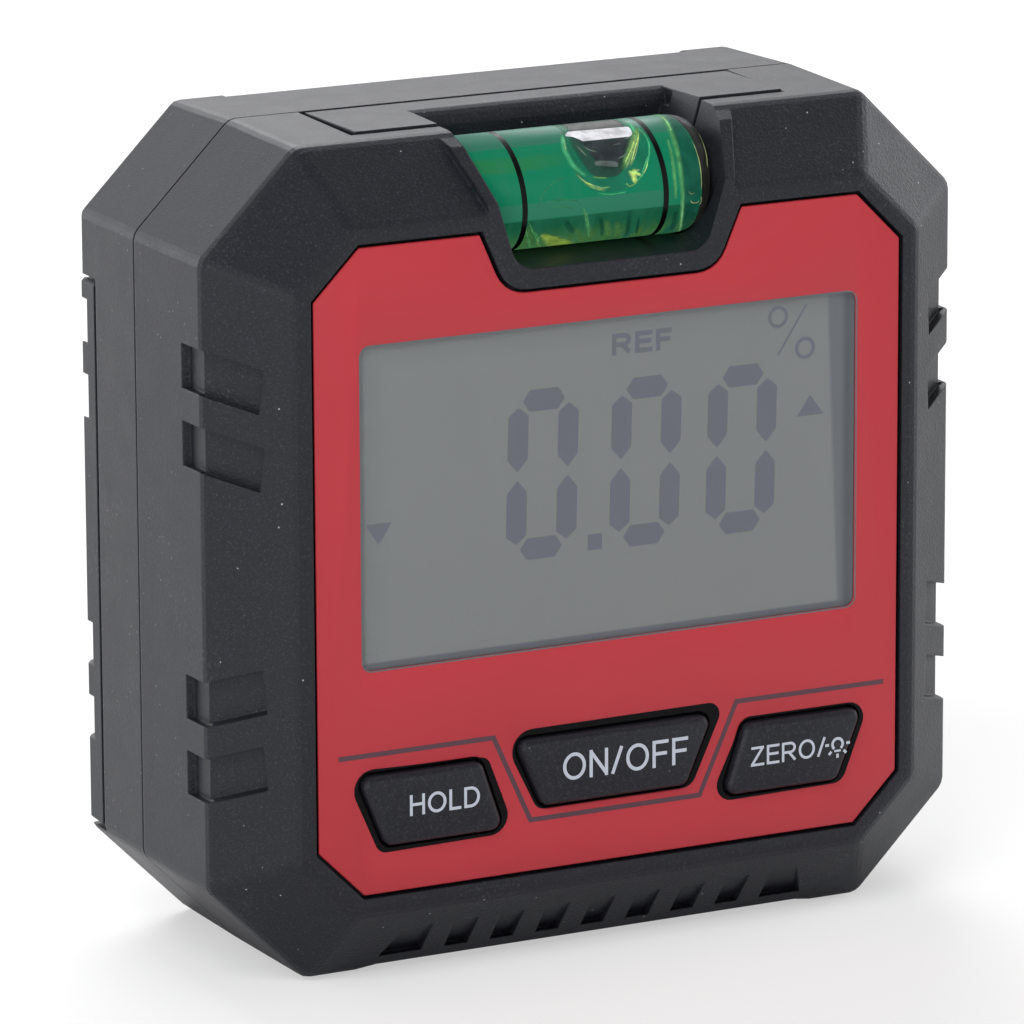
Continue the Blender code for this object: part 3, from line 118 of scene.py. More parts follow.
class Signal:
    """A number that runs through a material's nodes. Arithmetic on it adds Math nodes."""

    def __init__(self, graph: "Graph", socket: bpy.types.NodeSocket) -> None:
        """Keeps the graph and the output that carries the number."""
        self.graph = graph
        self.socket = socket

    def __add__(self, other: "Signal | float") -> "Signal":
        """Sum."""
        return self.graph.maths("ADD", self, other)

    __radd__ = __add__

    def __sub__(self, other: "Signal | float") -> "Signal":
        """Difference."""
        return self.graph.maths("SUBTRACT", self, other)

    def __rsub__(self, other: "Signal | float") -> "Signal":
        """Difference, with this number taken away."""
        return self.graph.maths("SUBTRACT", other, self)

    def __mul__(self, other: "Signal | float") -> "Signal":
        """Product."""
        return self.graph.maths("MULTIPLY", self, other)

    __rmul__ = __mul__

    def __truediv__(self, other: "Signal | float") -> "Signal":
        """Quotient."""
        return self.graph.maths("DIVIDE", self, other)

    def larger(self, other: "Signal | bpy.types.NodeSocket") -> "Signal":
        """The larger of the two."""
        return self.graph.maths("MAXIMUM", self, other)

    def rise(self, low: float, high: float) -> "Signal":
        """Smooth step: 0 below the low value, 1 above the high one."""
        return self.graph.ramp(self, low, high, 0.0, 1.0)

    def fall(self, low: float, high: float) -> "Signal":
        """Smooth step: 1 below the low value, 0 above the high one."""
        return self.graph.ramp(self, low, high, 1.0, 0.0)

    def band(self, low: float, high: float, soft: float) -> "Signal":
        """1 between two values and 0 outside, with soft edges of the given width."""
        return self.rise(low - soft, low + soft) * self.fall(high - soft, high + soft)


class Graph:
    """The node tree of one material or of the world."""

    def __init__(self, owner: bpy.types.Material | bpy.types.World) -> None:
        """Empties the owner's node tree.

        Args:
            owner: A new material, or the world.
        """
        self.owner = owner
        self.owner.use_nodes = True
        self.tree = self.owner.node_tree
        self.tree.nodes.clear()

    @classmethod
    def material(cls, name: str) -> "Graph":
        """The tree of a new material of that name."""
        return cls(bpy.data.materials.new(name))

    def node(self, kind: str, settings: dict | None = None, inputs: dict | None = None) -> bpy.types.Node:
        """Adds one node.

        Args:
            kind: Type name of the node.
            settings: Its properties, set before its sockets.
            inputs: Values or links for its sockets, by name or number.

        Returns:
            The new node.
        """
        made = self.tree.nodes.new(kind)
        for name, value in (settings or {}).items():
            setattr(made, name, value)
        for key, value in (inputs or {}).items():
            self.feed(made.inputs[key], value)
        return made

    def feed(self, socket: bpy.types.NodeSocket, value: object) -> None:
        """Links a signal or an output to a socket, or sets the socket's own value.

        Args:
            socket: The input.
            value: What goes into it.
        """
        if isinstance(value, Signal):
            self.tree.links.new(value.socket, socket)
        elif isinstance(value, bpy.types.NodeSocket):
            self.tree.links.new(value, socket)
        else:
            socket.default_value = value

    def maths(self, operation: str, first: object, second: object) -> Signal:
        """A Math node on two numbers."""
        made = self.node("ShaderNodeMath", {"operation": operation}, {0: first, 1: second})
        return Signal(self, made.outputs[0])

    def ramp(self, value: Signal, low: float, high: float, start: float, end: float) -> Signal:
        """A smooth change from one value to another between two limits.

        Args:
            value: The number that is compared with the limits.
            low: Lower limit.
            high: Upper limit.
            start: Result up to the lower limit.
            end: Result from the upper limit on.

        Returns:
            The result.
        """
        settings = {"interpolation_type": "SMOOTHSTEP"}
        inputs = {"Value": value, "From Min": low, "From Max": high, "To Min": start, "To Max": end}
        made = self.node("ShaderNodeMapRange", settings, inputs)
        return Signal(self, made.outputs["Result"])

    def mix(self, factor: Signal | float, first: object, second: object) -> bpy.types.NodeSocket:
        """A colour between two others.

        Args:
            factor: Share of the second colour, from 0 to 1.
            first: A colour, or the output that carries one.
            second: The other one.

        Returns:
            The output that carries the mixed colour.
        """
        a, b = (opaque(c) if isinstance(c, tuple) else c for c in (first, second))
        made = self.node("ShaderNodeMix", {"data_type": "RGBA"}, {0: factor, 6: a, 7: b})
        return made.outputs[2]

    def place(self) -> bpy.types.NodeSocket:
        """Object coordinates, in metres."""
        return self.node("ShaderNodeTexCoord").outputs["Object"]

    def axes(self) -> tuple[Signal, Signal, Signal]:
        """The three object coordinates, in millimetres."""
        parts = self.node("ShaderNodeSeparateXYZ", inputs={0: self.place()}).outputs
        return tuple(Signal(self, part) / MM for part in parts)

    def backwards(self) -> Signal:
        """How far a face looks backwards: -1 for one that faces the front."""
        normal = self.node("ShaderNodeNewGeometry").outputs["Normal"]
        return Signal(self, self.node("ShaderNodeSeparateXYZ", inputs={0: normal}).outputs[1])

    def chart(self) -> tuple[Signal, Signal]:
        """The piece's own map: how far across and how far along, from 0 to 1."""
        parts = self.node("ShaderNodeSeparateXYZ", inputs={0: self.node("ShaderNodeUVMap").outputs[0]}).outputs
        return Signal(self, parts[0]), Signal(self, parts[1])

    def noise(self, size: float, detail: float = 2.0, stretch: Triple = (1.0, 1.0, 1.0)) -> Signal:
        """Soft noise from 0 to 1.

        Args:
            size: Rough size of its patches.
            detail: Number of finer layers on it.
            stretch: How much denser it is along each axis.

        Returns:
            The noise.
        """
        place = self.node("ShaderNodeMapping", inputs={"Vector": self.place(), "Scale": stretch})
        inputs = {"Vector": place.outputs[0], "Scale": 1.0 / size, "Detail": detail}
        return Signal(self, self.node("ShaderNodeTexNoise", inputs=inputs).outputs[0])

    def specks(self, spacing: float, size: float, core: float = 0.6, empty: Limits = (0.62, 0.66)) -> Signal:
        """Tiny dots at random places.

        Args:
            spacing: Mean distance between the places.
            size: Radius of a dot.
            core: Share of the radius that is full, with the rest of it soft.
            empty: Share of the places that stays empty, and the share from which a dot is full.

        Returns:
            1 inside a dot and 0 outside.
        """
        inputs = {"Vector": self.place(), "Scale": 1.0 / spacing, "Randomness": 1.0}
        cells = self.node("ShaderNodeTexVoronoi", inputs=inputs)
        near = Signal(self, cells.outputs["Distance"])
        channels = self.node("ShaderNodeSeparateColor", inputs={0: cells.outputs["Color"]}).outputs
        chance = Signal(self, channels[0])
        return near.fall(size / spacing * core, size / spacing) * chance.rise(*empty)

    def bump(self, height: Signal, distance: float, soft_edge: float = 0.0) -> bpy.types.NodeSocket:
        """A normal from a height.

        Args:
            height: The height, from 0 to 1.
            distance: How high 1 is.
            soft_edge: Radius by which edges look rounded, or 0.

        Returns:
            The output that carries the normal.
        """
        inputs = {"Height": height, "Distance": distance}
        if soft_edge:
            edges = self.node("ShaderNodeBevel", {"samples": 6}, {"Radius": soft_edge})
            inputs["Normal"] = edges.outputs[0]
        return self.node("ShaderNodeBump", inputs=inputs).outputs[0]

    def finish(self, **inputs: object) -> bpy.types.Material:
        """Ends the tree in one Principled shader.

        Args:
            **inputs: Values or links by socket name, with underscores for spaces.

        Returns:
            The finished material.
        """
        named = {key.replace("_", " "): value for key, value in inputs.items()}
        return self.end(self.node("ShaderNodeBsdfPrincipled", inputs=named))

    def end(self, shader: bpy.types.Node) -> bpy.types.Material:
        """Makes a shader node the material's surface."""
        self.node("ShaderNodeOutputMaterial", inputs={0: shader.outputs[0]})
        return self.owner


def opaque(colour: Colour) -> tuple[float, float, float, float]:
    """A colour with full alpha."""
    return (*colour, 1.0)


def times(colour: Colour, factor: float) -> Colour:
    """A colour made lighter or darker."""
    return tuple(factor * part for part in colour)


HEART = (0.3, 0.7)  # the middle range of a noise, where most of its values lie


@dataclass(frozen=True)
class MouldedPlastic:
    """Spark-textured moulding: fine grain, faint mottling, sparse pale dust and painted glints where the grain
    catches light.
    """

    name: str
    colour: Colour
    roughness: float = 0.46
    sheen_level: float = 0.3
    grain: float = 0.2 * MM
    grain_height: float = 0.042 * MM
    dust: float = 0.6
    soft_edge: float = 0.0
    sheen_tint: Colour = (0.92, 0.94, 1.0)
    dust_colour: Colour = (0.55, 0.56, 0.58)
    dust_spacing: float = 1.1 * MM
    dust_size: float = 0.08 * MM
    dust_off_front: float = 0.35
    grain_off_front: float = 0.4
    front_turn: Limits = (-0.7, -0.35)
    mottle_size: float = 3.0 * MM
    mottle_share: float = 0.4
    mottle_gloss: float = 0.12
    shades: Limits = (0.7, 1.3)
    painted_glint_size: float = 0.13 * MM
    painted_glint_limits: Limits = (0.58, 0.7)
    painted_glint_share: float = 0.7
    painted_glint_shade: float = 4.0
    worn_size: float = 7.0 * MM
    worn_limits: Limits = (0.6, 0.68)
    worn_grain: float = 0.3 * MM
    worn_grain_limits: Limits = (0.6, 0.66)
    worn_share: float = 0.25
    worn_colour: Colour = (0.11, 0.115, 0.12)

    def material(self) -> bpy.types.Material:
        """Builds the material: grain and dust are strongest on faces that look to the front.

        Returns:
            The new material.
        """
        graph = Graph.material(self.name)
        grain = graph.noise(self.grain, 3.0)
        mottle = graph.noise(self.mottle_size, 3.0)
        # painted glints: sparse noise dots lightened to several times the colour, standing in for light caught
        # by the grain
        painted_glint = graph.noise(self.painted_glint_size, 2.0).rise(*self.painted_glint_limits) * self.painted_glint_share
        facing = graph.backwards().fall(*self.front_turn)
        dusty = self.dust_off_front + (1.0 - self.dust_off_front) * facing
        speck = graph.specks(self.dust_spacing, self.dust_size) * self.dust * dusty
        patchy = mottle * self.mottle_share + grain.rise(*HEART) * (1.0 - self.mottle_share)
        shade = graph.mix(patchy, *(times(self.colour, factor) for factor in self.shades))
        shade = graph.mix(painted_glint, shade, times(self.colour, self.painted_glint_shade))
        worn = graph.noise(self.worn_size, 1.0).rise(*self.worn_limits)
        worn = worn * graph.noise(self.worn_grain, 1.0).rise(*self.worn_grain_limits)
        shade = graph.mix(worn * self.dust * self.worn_share, shade, self.worn_colour)
        grainy = self.grain_off_front + (1.0 - self.grain_off_front) * facing
        return graph.finish(
            Base_Color=graph.mix(speck, shade, self.dust_colour),
            Roughness=self.roughness - self.mottle_gloss / 2 + self.mottle_gloss * mottle,
            Specular_IOR_Level=self.sheen_level,
            Specular_Tint=opaque(self.sheen_tint),
            Normal=graph.bump(grain * grainy, self.grain_height, self.soft_edge),
        )


@dataclass(frozen=True)
class SatinPaint:
    """The painted face panel: even colour with a faint orange-peel, and its walls behind the front darkened as
    painted shade of the gaps round it.

    Without a front, none of it is darkened.
    """

    name: str
    colour: Colour
    roughness: float = 0.42
    front: float = 1.0
    cloud_size: float = 9.0 * MM
    shades: Limits = (0.94, 1.05)
    peel: float = 0.9 * MM
    peel_height: float = 0.004 * MM
    peel_gloss: float = 0.06
    paint_end: Limits = (0.08, 0.22)
    painted_gap_shade: float = 0.02

    def material(self) -> bpy.types.Material:
        """Builds the material. The paint ends at a depth, in millimetres, behind the front, where painted shade
        takes over.

        Returns:
            The new material.
        """
        graph = Graph.material(self.name)
        cloud = graph.noise(self.cloud_size, 2.0)
        fine = graph.noise(self.peel, 3.0)
        shade = graph.mix(cloud, *(times(self.colour, factor) for factor in self.shades))
        # painted shade: walls behind the front are darkened to a few per cent of the colour, as the gaps round
        # the panel lie in shade
        in_shaded_gap = (graph.axes()[1] - self.front / MM).rise(*self.paint_end)
        return graph.finish(
            Base_Color=graph.mix(in_shaded_gap, shade, times(self.colour, self.painted_gap_shade)),
            Roughness=self.roughness - self.peel_gloss / 2 + self.peel_gloss * fine,
            Specular_IOR_Level=0.3,
            Normal=graph.bump(fine, self.peel_height),
        )


@dataclass(frozen=True)
class FlatInk:
    """Printed or lit marks of one colour, barely uneven."""

    name: str
    colour: Colour
    roughness: float = 0.5
    sheen_level: float = 0.25
    grain: float = 0.25 * MM
    shades: Limits = (0.94, 1.06)

    def material(self) -> bpy.types.Material:
        """Builds the material.

        Returns:
            The new material.
        """
        graph = Graph.material(self.name)
        fine = graph.noise(self.grain, 2.0)
        shade = graph.mix(fine, *(times(self.colour, factor) for factor in self.shades))
        return graph.finish(Base_Color=shade, Roughness=self.roughness, Specular_IOR_Level=self.sheen_level)


@dataclass(frozen=True)
class PlatedMetal:
    """Plated steel with faint drawing lines."""

    name: str
    colour: Colour
    roughness: float = 0.3
    line_size: float = 0.4 * MM
    line_stretch: Triple = (0.15, 1.0, 1.0)
    line_shade: float = 0.85
    line_gloss: float = 0.15

    def material(self) -> bpy.types.Material:
        """Builds the material.

        Returns:
            The new material.
        """
        graph = Graph.material(self.name)
        lines = graph.noise(self.line_size, 2.0, self.line_stretch)
        return graph.finish(
            Base_Color=graph.mix(lines, times(self.colour, self.line_shade), self.colour),
            Metallic=1.0,
            Roughness=self.roughness + self.line_gloss * lines,
        )


@dataclass(frozen=True)
class BoardLacquer:
    """Green lacquer of a circuit board over its copper tracks."""

    name: str
    colour: Colour
    track_size: float = 1.6 * MM
    track_stretch: Triple = (1.0, 1.0, 4.0)
    track_limits: Limits = (0.55, 0.57)
    track_shade: float = 1.7
    track_height: float = 0.02 * MM

    def material(self) -> bpy.types.Material:
        """Builds the material.

        Returns:
            The new material.
        """
        graph = Graph.material(self.name)
        tracks = graph.noise(self.track_size, 1.0, self.track_stretch).rise(*self.track_limits)
        shade = graph.mix(tracks, self.colour, times(self.colour, self.track_shade))
        return graph.finish(Base_Color=shade, Roughness=0.32, Normal=graph.bump(tracks, self.track_height))


@dataclass(frozen=True)
class ClearPane:
    """Clear moulded sheet: seen through, with a gloss that grows at a slant."""

    name: str
    tint: Colour = (0.97, 0.98, 0.98)
    index: float = 1.38
    roughness: float = 0.06

    def material(self) -> bpy.types.Material:
        """Builds the material: only the outer side of a face is glossy.

        Returns:
            The new material.
        """
        graph = Graph.material(self.name)
        inside = Signal(graph, graph.node("ShaderNodeNewGeometry").outputs["Backfacing"])
        slant = Signal(graph, graph.node("ShaderNodeFresnel", inputs={"IOR": self.index}).outputs[0])
        through = graph.node("ShaderNodeBsdfTransparent", inputs={0: opaque(self.tint)}).outputs[0]
        mirror = graph.node("ShaderNodeBsdfGlossy", inputs={"Roughness": self.roughness}).outputs[0]
        inputs = {0: slant * (1.0 - inside), 1: through, 2: mirror}
        return graph.end(graph.node("ShaderNodeMixShader", inputs=inputs))


@dataclass(frozen=True)
class DisplayGrey:
    """Grey of the idle display: paler in the middle, with its frame's soft painted shadow right and below,
    darkest in a band near the right edge.

    The bounds and the frame's sides are in metres, and the widths of the shades in millimetres.
    """

    name: str
    left: float
    right: float
    floor: float
    top: float
    frame_right_top: float = 17.45 * MM
    frame_right_foot: float = 18.4 * MM
    frame_floor: float = 23.56 * MM
    middle: Colour = (0.226, 0.231, 0.229)
    edge: Colour = (0.188, 0.194, 0.200)
    shadow: Colour = (0.146, 0.154, 0.174)
    deep: Colour = (0.090, 0.097, 0.108)
    side_soft: float = 0.18
    foot_soft: float = 0.12
    darkest_band: Triple = (-0.95, -0.3, 0.3)
    darkest_band_share: float = 0.9
    foot_share: float = 0.4
    left_fade: float = 2.6
    top_fade: float = 2.2
    fade_share: float = 0.75
    cloud_size: float = 14.0 * MM
    cloud_share: float = 0.25

    def material(self) -> bpy.types.Material:
        """Builds the material.

        Returns:
            The new material.
        """
        graph = Graph.material(self.name)
        x, _, z = graph.axes()
        up = (z - self.floor / MM) / ((self.top - self.floor) / MM)
        limit = up * ((self.frame_right_top - self.frame_right_foot) / MM) + self.frame_right_foot / MM
        # painted shadow of the window's frame on the film, to the right and below
        side = (x - limit).rise(-self.side_soft, self.side_soft)
        foot = (z - self.frame_floor / MM).fall(-self.foot_soft, self.foot_soft)
        shaded = side.larger(foot)
        darkest_band = (x - self.right / MM).band(*self.darkest_band) * self.darkest_band_share
        near_left = (x - self.left / MM).fall(0.0, self.left_fade)
        near_top = (self.top / MM - z).fall(0.0, self.top_fade)
        rim = near_left.larger(near_top) * self.fade_share
        cloud = graph.noise(self.cloud_size, 2.0) * self.cloud_share
        pale = graph.mix(rim, graph.mix(cloud, self.middle, self.edge), self.edge)
        dark = graph.mix((darkest_band * side).larger(foot * self.foot_share), self.shadow, self.deep)
        return graph.finish(
            Base_Color=graph.mix(shaded, pale, dark),
            Roughness=0.55,
            Specular_IOR_Level=0.15,
        )


@dataclass(frozen=True)
class LiquidGreen:
    """Green liquid as the round tube shows it: painted bands of light, shade and reflection that run along it
    at set angles.

    Part of its colour is a painted glow, emitted as if lit from inside, more so in its lower half.
    """

    name: str
    axis_y: float
    axis_z: float
    middle: Colour = (0.0065, 0.1900, 0.0950)
    leaf: Colour = (0.0200, 0.1850, 0.0700)
    pale: Colour = (0.0290, 0.1800, 0.1080)
    low: Colour = (0.0070, 0.0920, 0.0450)
    foot: Colour = (0.0420, 0.1320, 0.0380)
    deep: Colour = (0.0060, 0.0700, 0.0400)
    top: Colour = (0.0340, 0.1620, 0.1080)
    crest: Colour = (0.0750, 0.2050, 0.1550)
    clear: Colour = (0.0170, 0.0180, 0.0160)
    cloud_size: float = 5.0 * MM
    cloud_stretch: Triple = (0.6, 1.0, 1.0)
    cloud_swing: float = 22.0
    fine_size: float = 1.4 * MM
    fine_stretch: Triple = (2.0, 0.35, 0.35)
    foot_grain: Limits = (0.42, 0.62)
    foot_run: Limits = (-1.0, 4.0)
    low_angles: Limits = (-58.0, -26.0)
    middle_angles: Limits = (-21.0, -18.5)
    leaf_band: Triple = (30.0, 44.0, 3.0)
    leaf_run: Limits = (-6.0, 0.0)
    pale_grain: Limits = (0.35, 0.75)
    pale_grain_share: float = 0.3
    pale_band: Triple = (-19.4, -2.5, 1.0)
    pale_run: Limits = (4.4, 6.0)
    band_share: float = 0.9
    top_angles: Limits = (55.5, 58.5)
    crest_angles: Limits = (60.0, 80.0)
    clear_run: Limits = (7.95, 8.05)
    glow_angles: Limits = (-55.0, 0.0)
    glow_above: float = 0.5
    glow_more_below: float = 0.45

    def material(self) -> bpy.types.Material:
        """Builds the material: angles in degrees up from the front, runs in millimetres of X.

        Returns:
            The new material.
        """
        graph = Graph.material(self.name)
        x, y, z = graph.axes()
        front, up = self.axis_y / MM - y, z - self.axis_z / MM
        angle = graph.maths("ARCTAN2", up, front) * math.degrees(1.0)
        cloud = graph.noise(self.cloud_size, 2.0, self.cloud_stretch)
        fine = graph.noise(self.fine_size, 3.0, self.fine_stretch)
        soft = angle + (cloud - 0.5) * self.cloud_swing
        # lower half: darker towards the bottom as painted shade, with painted yellow-green light in grains at
        # the foot
        foot = graph.mix(fine.rise(*self.foot_grain) * x.rise(*self.foot_run), self.foot, self.deep)
        leaf = soft.band(*self.leaf_band) * x.fall(*self.leaf_run) * self.band_share
        pale = angle.band(*self.pale_band) * x.fall(*self.pale_run) * self.band_share
        shade = graph.mix(soft.rise(*self.low_angles), foot, self.low)
        shade = graph.mix(angle.rise(*self.middle_angles), shade, self.middle)
        shade = graph.mix(leaf, shade, self.leaf)
        shade = graph.mix(fine.rise(*self.pale_grain) * self.pale_grain_share, shade, self.pale)
        shade = graph.mix(pale, shade, self.pale)
        # painted reflection of the bright surroundings: the pale top band and the crest above it
        shade = graph.mix(angle.rise(*self.top_angles), shade, self.top)
        shade = graph.mix(angle.rise(*self.crest_angles), shade, self.crest)
        shade = graph.mix(x.rise(*self.clear_run), shade, self.clear)
        # painted glow: emission that makes the liquid shine, more so towards the bottom
        inner = angle.fall(*self.glow_angles) * self.glow_more_below + self.glow_above
        return graph.finish(
            Base_Color=graph.mix(inner, shade, BLACK),
            Emission_Color=graph.mix(inner, BLACK, shade),
            Emission_Strength=1.0,
            Roughness=0.25,
            Specular_IOR_Level=0.05,
        )


@dataclass(frozen=True)
class LightMark:
    """A painted streak or patch in the vial, standing for light, shade and reflections in the liquid and the
    bubble: one colour that fades out towards its sides and ends.

    Half of its colour is its own and half a painted glow, emitted as if lit from inside, each a little darker
    or lighter in places.
    """

    name: str
    colour: Colour
    strength: float = 1.0
    side_fade: float = 0.35
    end_fade: float = 0.12
    grain: float = 0.8 * MM
    shades: Limits = (0.375, 0.625)

    def material(self) -> bpy.types.Material:
        """Builds the material.

        Returns:
            The new material.
        """
        graph = Graph.material(self.name)
        across, along = graph.chart()
        sides = across.rise(0.0, self.side_fade) * across.fall(1.0 - self.side_fade, 1.0)
        ends = along.rise(0.0, self.end_fade) * along.fall(1.0 - self.end_fade, 1.0)
        cloud = graph.noise(self.grain, 2.0).rise(*HEART)
        shade = graph.mix(cloud, *(times(self.colour, factor) for factor in self.shades))
        return graph.finish(
            Base_Color=shade,
            Emission_Color=shade,
            Emission_Strength=1.0,
            Roughness=0.3,
            Specular_IOR_Level=0.08,
            Alpha=sides * ends * self.strength,
        )


BLACK = (0.0, 0.0, 0.0)
WHITE = (1.0, 1.0, 1.0)
HOUSING_BLACK = MouldedPlastic("housing black", (0.0096, 0.0101, 0.0138), sheen_level=0.32, soft_edge=0.2 * MM)
KEY_BLACK = MouldedPlastic(
    "key black",
    (0.0108, 0.0112, 0.0150),
    roughness=0.4,
    sheen_level=0.29,
    grain=0.3 * MM,
    grain_height=0.008 * MM,
    dust=0.2,
)
PANEL_RED = SatinPaint("panel red", (0.455, 0.033, 0.045), front=face_of("face_panel"))
KEY_PRINT = FlatInk("key print", (0.51, 0.54, 0.62))
# painted shade of the gaps round the keys, over the black of the rubber mat
KEY_SHADE = FlatInk("key gap shade", (0.0035, 0.0035, 0.0042), roughness=0.6, sheen_level=0.1)
PANEL_PRINT = FlatInk("panel print", (0.095, 0.045, 0.060))
DISPLAY_MARK = FlatInk("display mark", (0.137, 0.142, 0.174), 0.6)
DISPLAY_GLASS = FlatInk("display glass", (0.2, 0.22, 0.2), 0.2)
WINDOW_CLEAR = ClearPane("window clear")
WINDOW_EDGE_HIGHLIGHT = FlatInk("window edge painted highlight", (0.112, 0.134, 0.145), 0.4)
VIAL_PLAIN = FlatInk("vial green plain", (0.012, 0.2, 0.1), 0.2)
TUBE_PLAIN = FlatInk("vial tube plain", (0.012, 0.2, 0.1), 0.1)
INSIDE_WHITE = MouldedPlastic("inside white", (0.7, 0.72, 0.7), 0.4, 0.4, 0.5 * MM, 0.002 * MM, 0.0)
CONNECTOR_GREY = MouldedPlastic("connector grey", (0.1, 0.1, 0.11), 0.6, 0.2, 0.5 * MM, 0.004 * MM, 0.0)
CHIP_BLACK = MouldedPlastic("chip black", (0.012, 0.012, 0.013), 0.5, 0.3, 0.2 * MM, 0.004 * MM, 0.0)
BOARD_GREEN = BoardLacquer("board green", (0.012, 0.11, 0.045))
STEEL = PlatedMetal("zinc steel", (0.45, 0.45, 0.46), 0.36)
NICKEL = PlatedMetal("nickel", (0.62, 0.61, 0.58), 0.2)
SLEEVE = SatinPaint("cell sleeve", (0.03, 0.06, 0.16), 0.3)


def show(name: str, data: bpy.types.ID) -> bpy.types.Object:
    """Puts something into the scene as an object at the origin.

    Args:
        name: Name of the object.
        data: Its mesh, lamp or camera.

    Returns:
        The new object.
    """
    made = bpy.data.objects.new(name, data)
    bpy.context.scene.collection.objects.link(made)
    return made


def show_part(name: str, part: Part, finish: bpy.types.Material) -> bpy.types.Object:
    """Puts points and faces into a mesh object at the origin.

    Args:
        name: Name of the object.
        part: Its corners in metres, one row each, and the corner numbers of each face.
        finish: Its material.

    Returns:
        The new object.
    """
    points, faces = part
    mesh = bpy.data.meshes.new(name)
    mesh.from_pydata(points.tolist(), [], faces)
    mesh.materials.append(finish)
    return show(name, mesh)


def ride_piece(made: bpy.types.Object, body: Body) -> bpy.types.Object:
    """Gives a piece the body that it rides on.

    Args:
        made: The piece.
        body: The body that it rides on.

    Returns:
        The same piece.
    """
    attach(made, body.value)
    return made


def new_piece(
    name: str, part: Part, finish: bpy.types.Material, body: Body = Body.GAUGE
) -> bpy.types.Object:
    """A piece of the gauge made of points and faces.

    Args:
        name: Name of the piece.
        part: Its corners and faces.
        finish: Its material.
        body: The body that it rides on.

    Returns:
        The new object, riding on its body.
    """
    return ride_piece(show_part(name, part, finish), body)


def closed_piece(
    name: str, part: Part, finish: bpy.types.Material, body: Body = Body.GAUGE
) -> bpy.types.Object:
    """A piece with a closed surface: its doubles are merged and its faces turned outwards.

    Args:
        name: Name of the piece.
        part: Its corners and faces.
        finish: Its material.
        body: The body that it rides on.

    Returns:
        The new object, riding on its body.
    """
    piece = new_piece(name, part, finish, body)
    work = bmesh.new()
    work.from_mesh(piece.data)
    bmesh.ops.remove_doubles(work, verts=work.verts, dist=MERGE)
    bmesh.ops.recalc_face_normals(work, faces=work.faces)
    work.to_mesh(piece.data)
    work.free()
    return piece


def smooth(mesh: bpy.types.Mesh) -> None:
    """Shades a mesh without facets."""
    mesh.polygons.foreach_set("use_smooth", np.ones(len(mesh.polygons), bool))


def grid_faces(rows: int, columns: int, wrap_rows: bool = False, wrap_columns: bool = False) -> Points:
    """Quads of a grid of points numbered row by row.

    Args:
        rows: Number of rows of points.
        columns: Number of points in a row.
        wrap_rows: Whether the last row joins the first.
        wrap_columns: Whether each row closes on itself.

    Returns:
        Four corner numbers a face.
    """
    i = np.arange(rows if wrap_rows else rows - 1)
    j = np.arange(columns if wrap_columns else columns - 1)
    i, j = (a.ravel() for a in np.meshgrid(i, j, indexing="ij"))
    up, along = (i + 1) % rows, (j + 1) % columns
    return np.stack([i * columns + j, i * columns + along, up * columns + along, up * columns + j], 1)


def slab(outline: Points, front: float, back: float) -> Part:
    """A flat plate: an outline in X and Z, counter-clockwise seen from the front, given a thickness.

    Args:
        outline: The corners, one row of X and Z each.
        front: World Y of the front face.
        back: World Y of the back face.

    Returns:
        Its points, and its faces with the two flat ones last.
    """
    count = len(outline)
    near = np.column_stack([outline[:, 0], np.full(count, front), outline[:, 1]])
    far = near + [0.0, back - front, 0.0]
    sides = grid_faces(2, count, wrap_columns=True)[:, ::-1]
    caps = [list(range(count)), list(range(2 * count - 1, count - 1, -1))]
    return np.vstack([near, far]), sides.tolist() + caps


def join_parts(parts: list[Part]) -> Part:
    """Several sets of points and faces as one.

    Args:
        parts: The sets.

    Returns:
        All points, and all faces with their corner numbers moved on by the points before them.
    """
    offsets = np.cumsum([0] + [len(points) for points, _ in parts[:-1]])
    faces = [[int(n) + int(o) for n in face] for (_, rows), o in zip(parts, offsets) for face in rows]
    return np.vstack([points for points, _ in parts]), faces


def rounded_rectangle(low: Points, high: Points, radius: float, steps: int = 8) -> Points:
    """Outline of a rectangle whose corners are quarter circles.

    Args:
        low: Lower left corner in X and Z.
        high: Upper right corner in X and Z.
        radius: Radius of the corners.
        steps: Points on each quarter circle.

    Returns:
        The outline's points, counter-clockwise from the lower left.
    """
    turn = np.linspace(0.0, np.pi / 2, steps)
    starts = np.array([np.pi, 1.5 * np.pi, 0.0, 0.5 * np.pi])
    angle = (starts[:, None] + turn[None, :]).ravel()
    x = np.repeat([low[0] + radius, high[0] - radius, high[0] - radius, low[0] + radius], steps)
    z = np.repeat([low[1] + radius, low[1] + radius, high[1] - radius, high[1] - radius], steps)
    return np.column_stack([x + radius * np.cos(angle), z + radius * np.sin(angle)])


def round_corners(corners: Points, radii: Points, steps: int = 8) -> Points:
    """Outline of a polygon whose corners are arcs that touch both of their edges.

    Each arc's centre lies on the corner's bisector, at the radius divided by the sine of half the angle.

    Args:
        corners: The corners in X and Z, counter-clockwise.
        radii: A radius for each corner.
        steps: Points on each arc.

    Returns:
        The outline's points, the same number for each corner.
    """
    behind, ahead = np.roll(corners, 1, 0) - corners, np.roll(corners, -1, 0) - corners
    behind /= np.linalg.norm(behind, axis=1, keepdims=True)
    ahead /= np.linalg.norm(ahead, axis=1, keepdims=True)
    half = np.arccos((behind * ahead).sum(1)) / 2
    middle = behind + ahead
    middle /= np.linalg.norm(middle, axis=1, keepdims=True)
    centre = corners + middle * (radii / np.sin(half))[:, None]
    start = corners + behind * (radii / np.tan(half))[:, None] - centre
    end = corners + ahead * (radii / np.tan(half))[:, None] - centre
    first = np.arctan2(start[:, 1], start[:, 0])
    turn = (np.arctan2(end[:, 1], end[:, 0]) - first + np.pi) % (2 * np.pi) - np.pi
    angle = first[:, None] + turn[:, None] * np.linspace(0.0, 1.0, steps)[None, :]
    arcs = centre[:, None, :] + radii[:, None, None] * np.stack([np.cos(angle), np.sin(angle)], -1)
    return arcs.reshape(-1, 2)


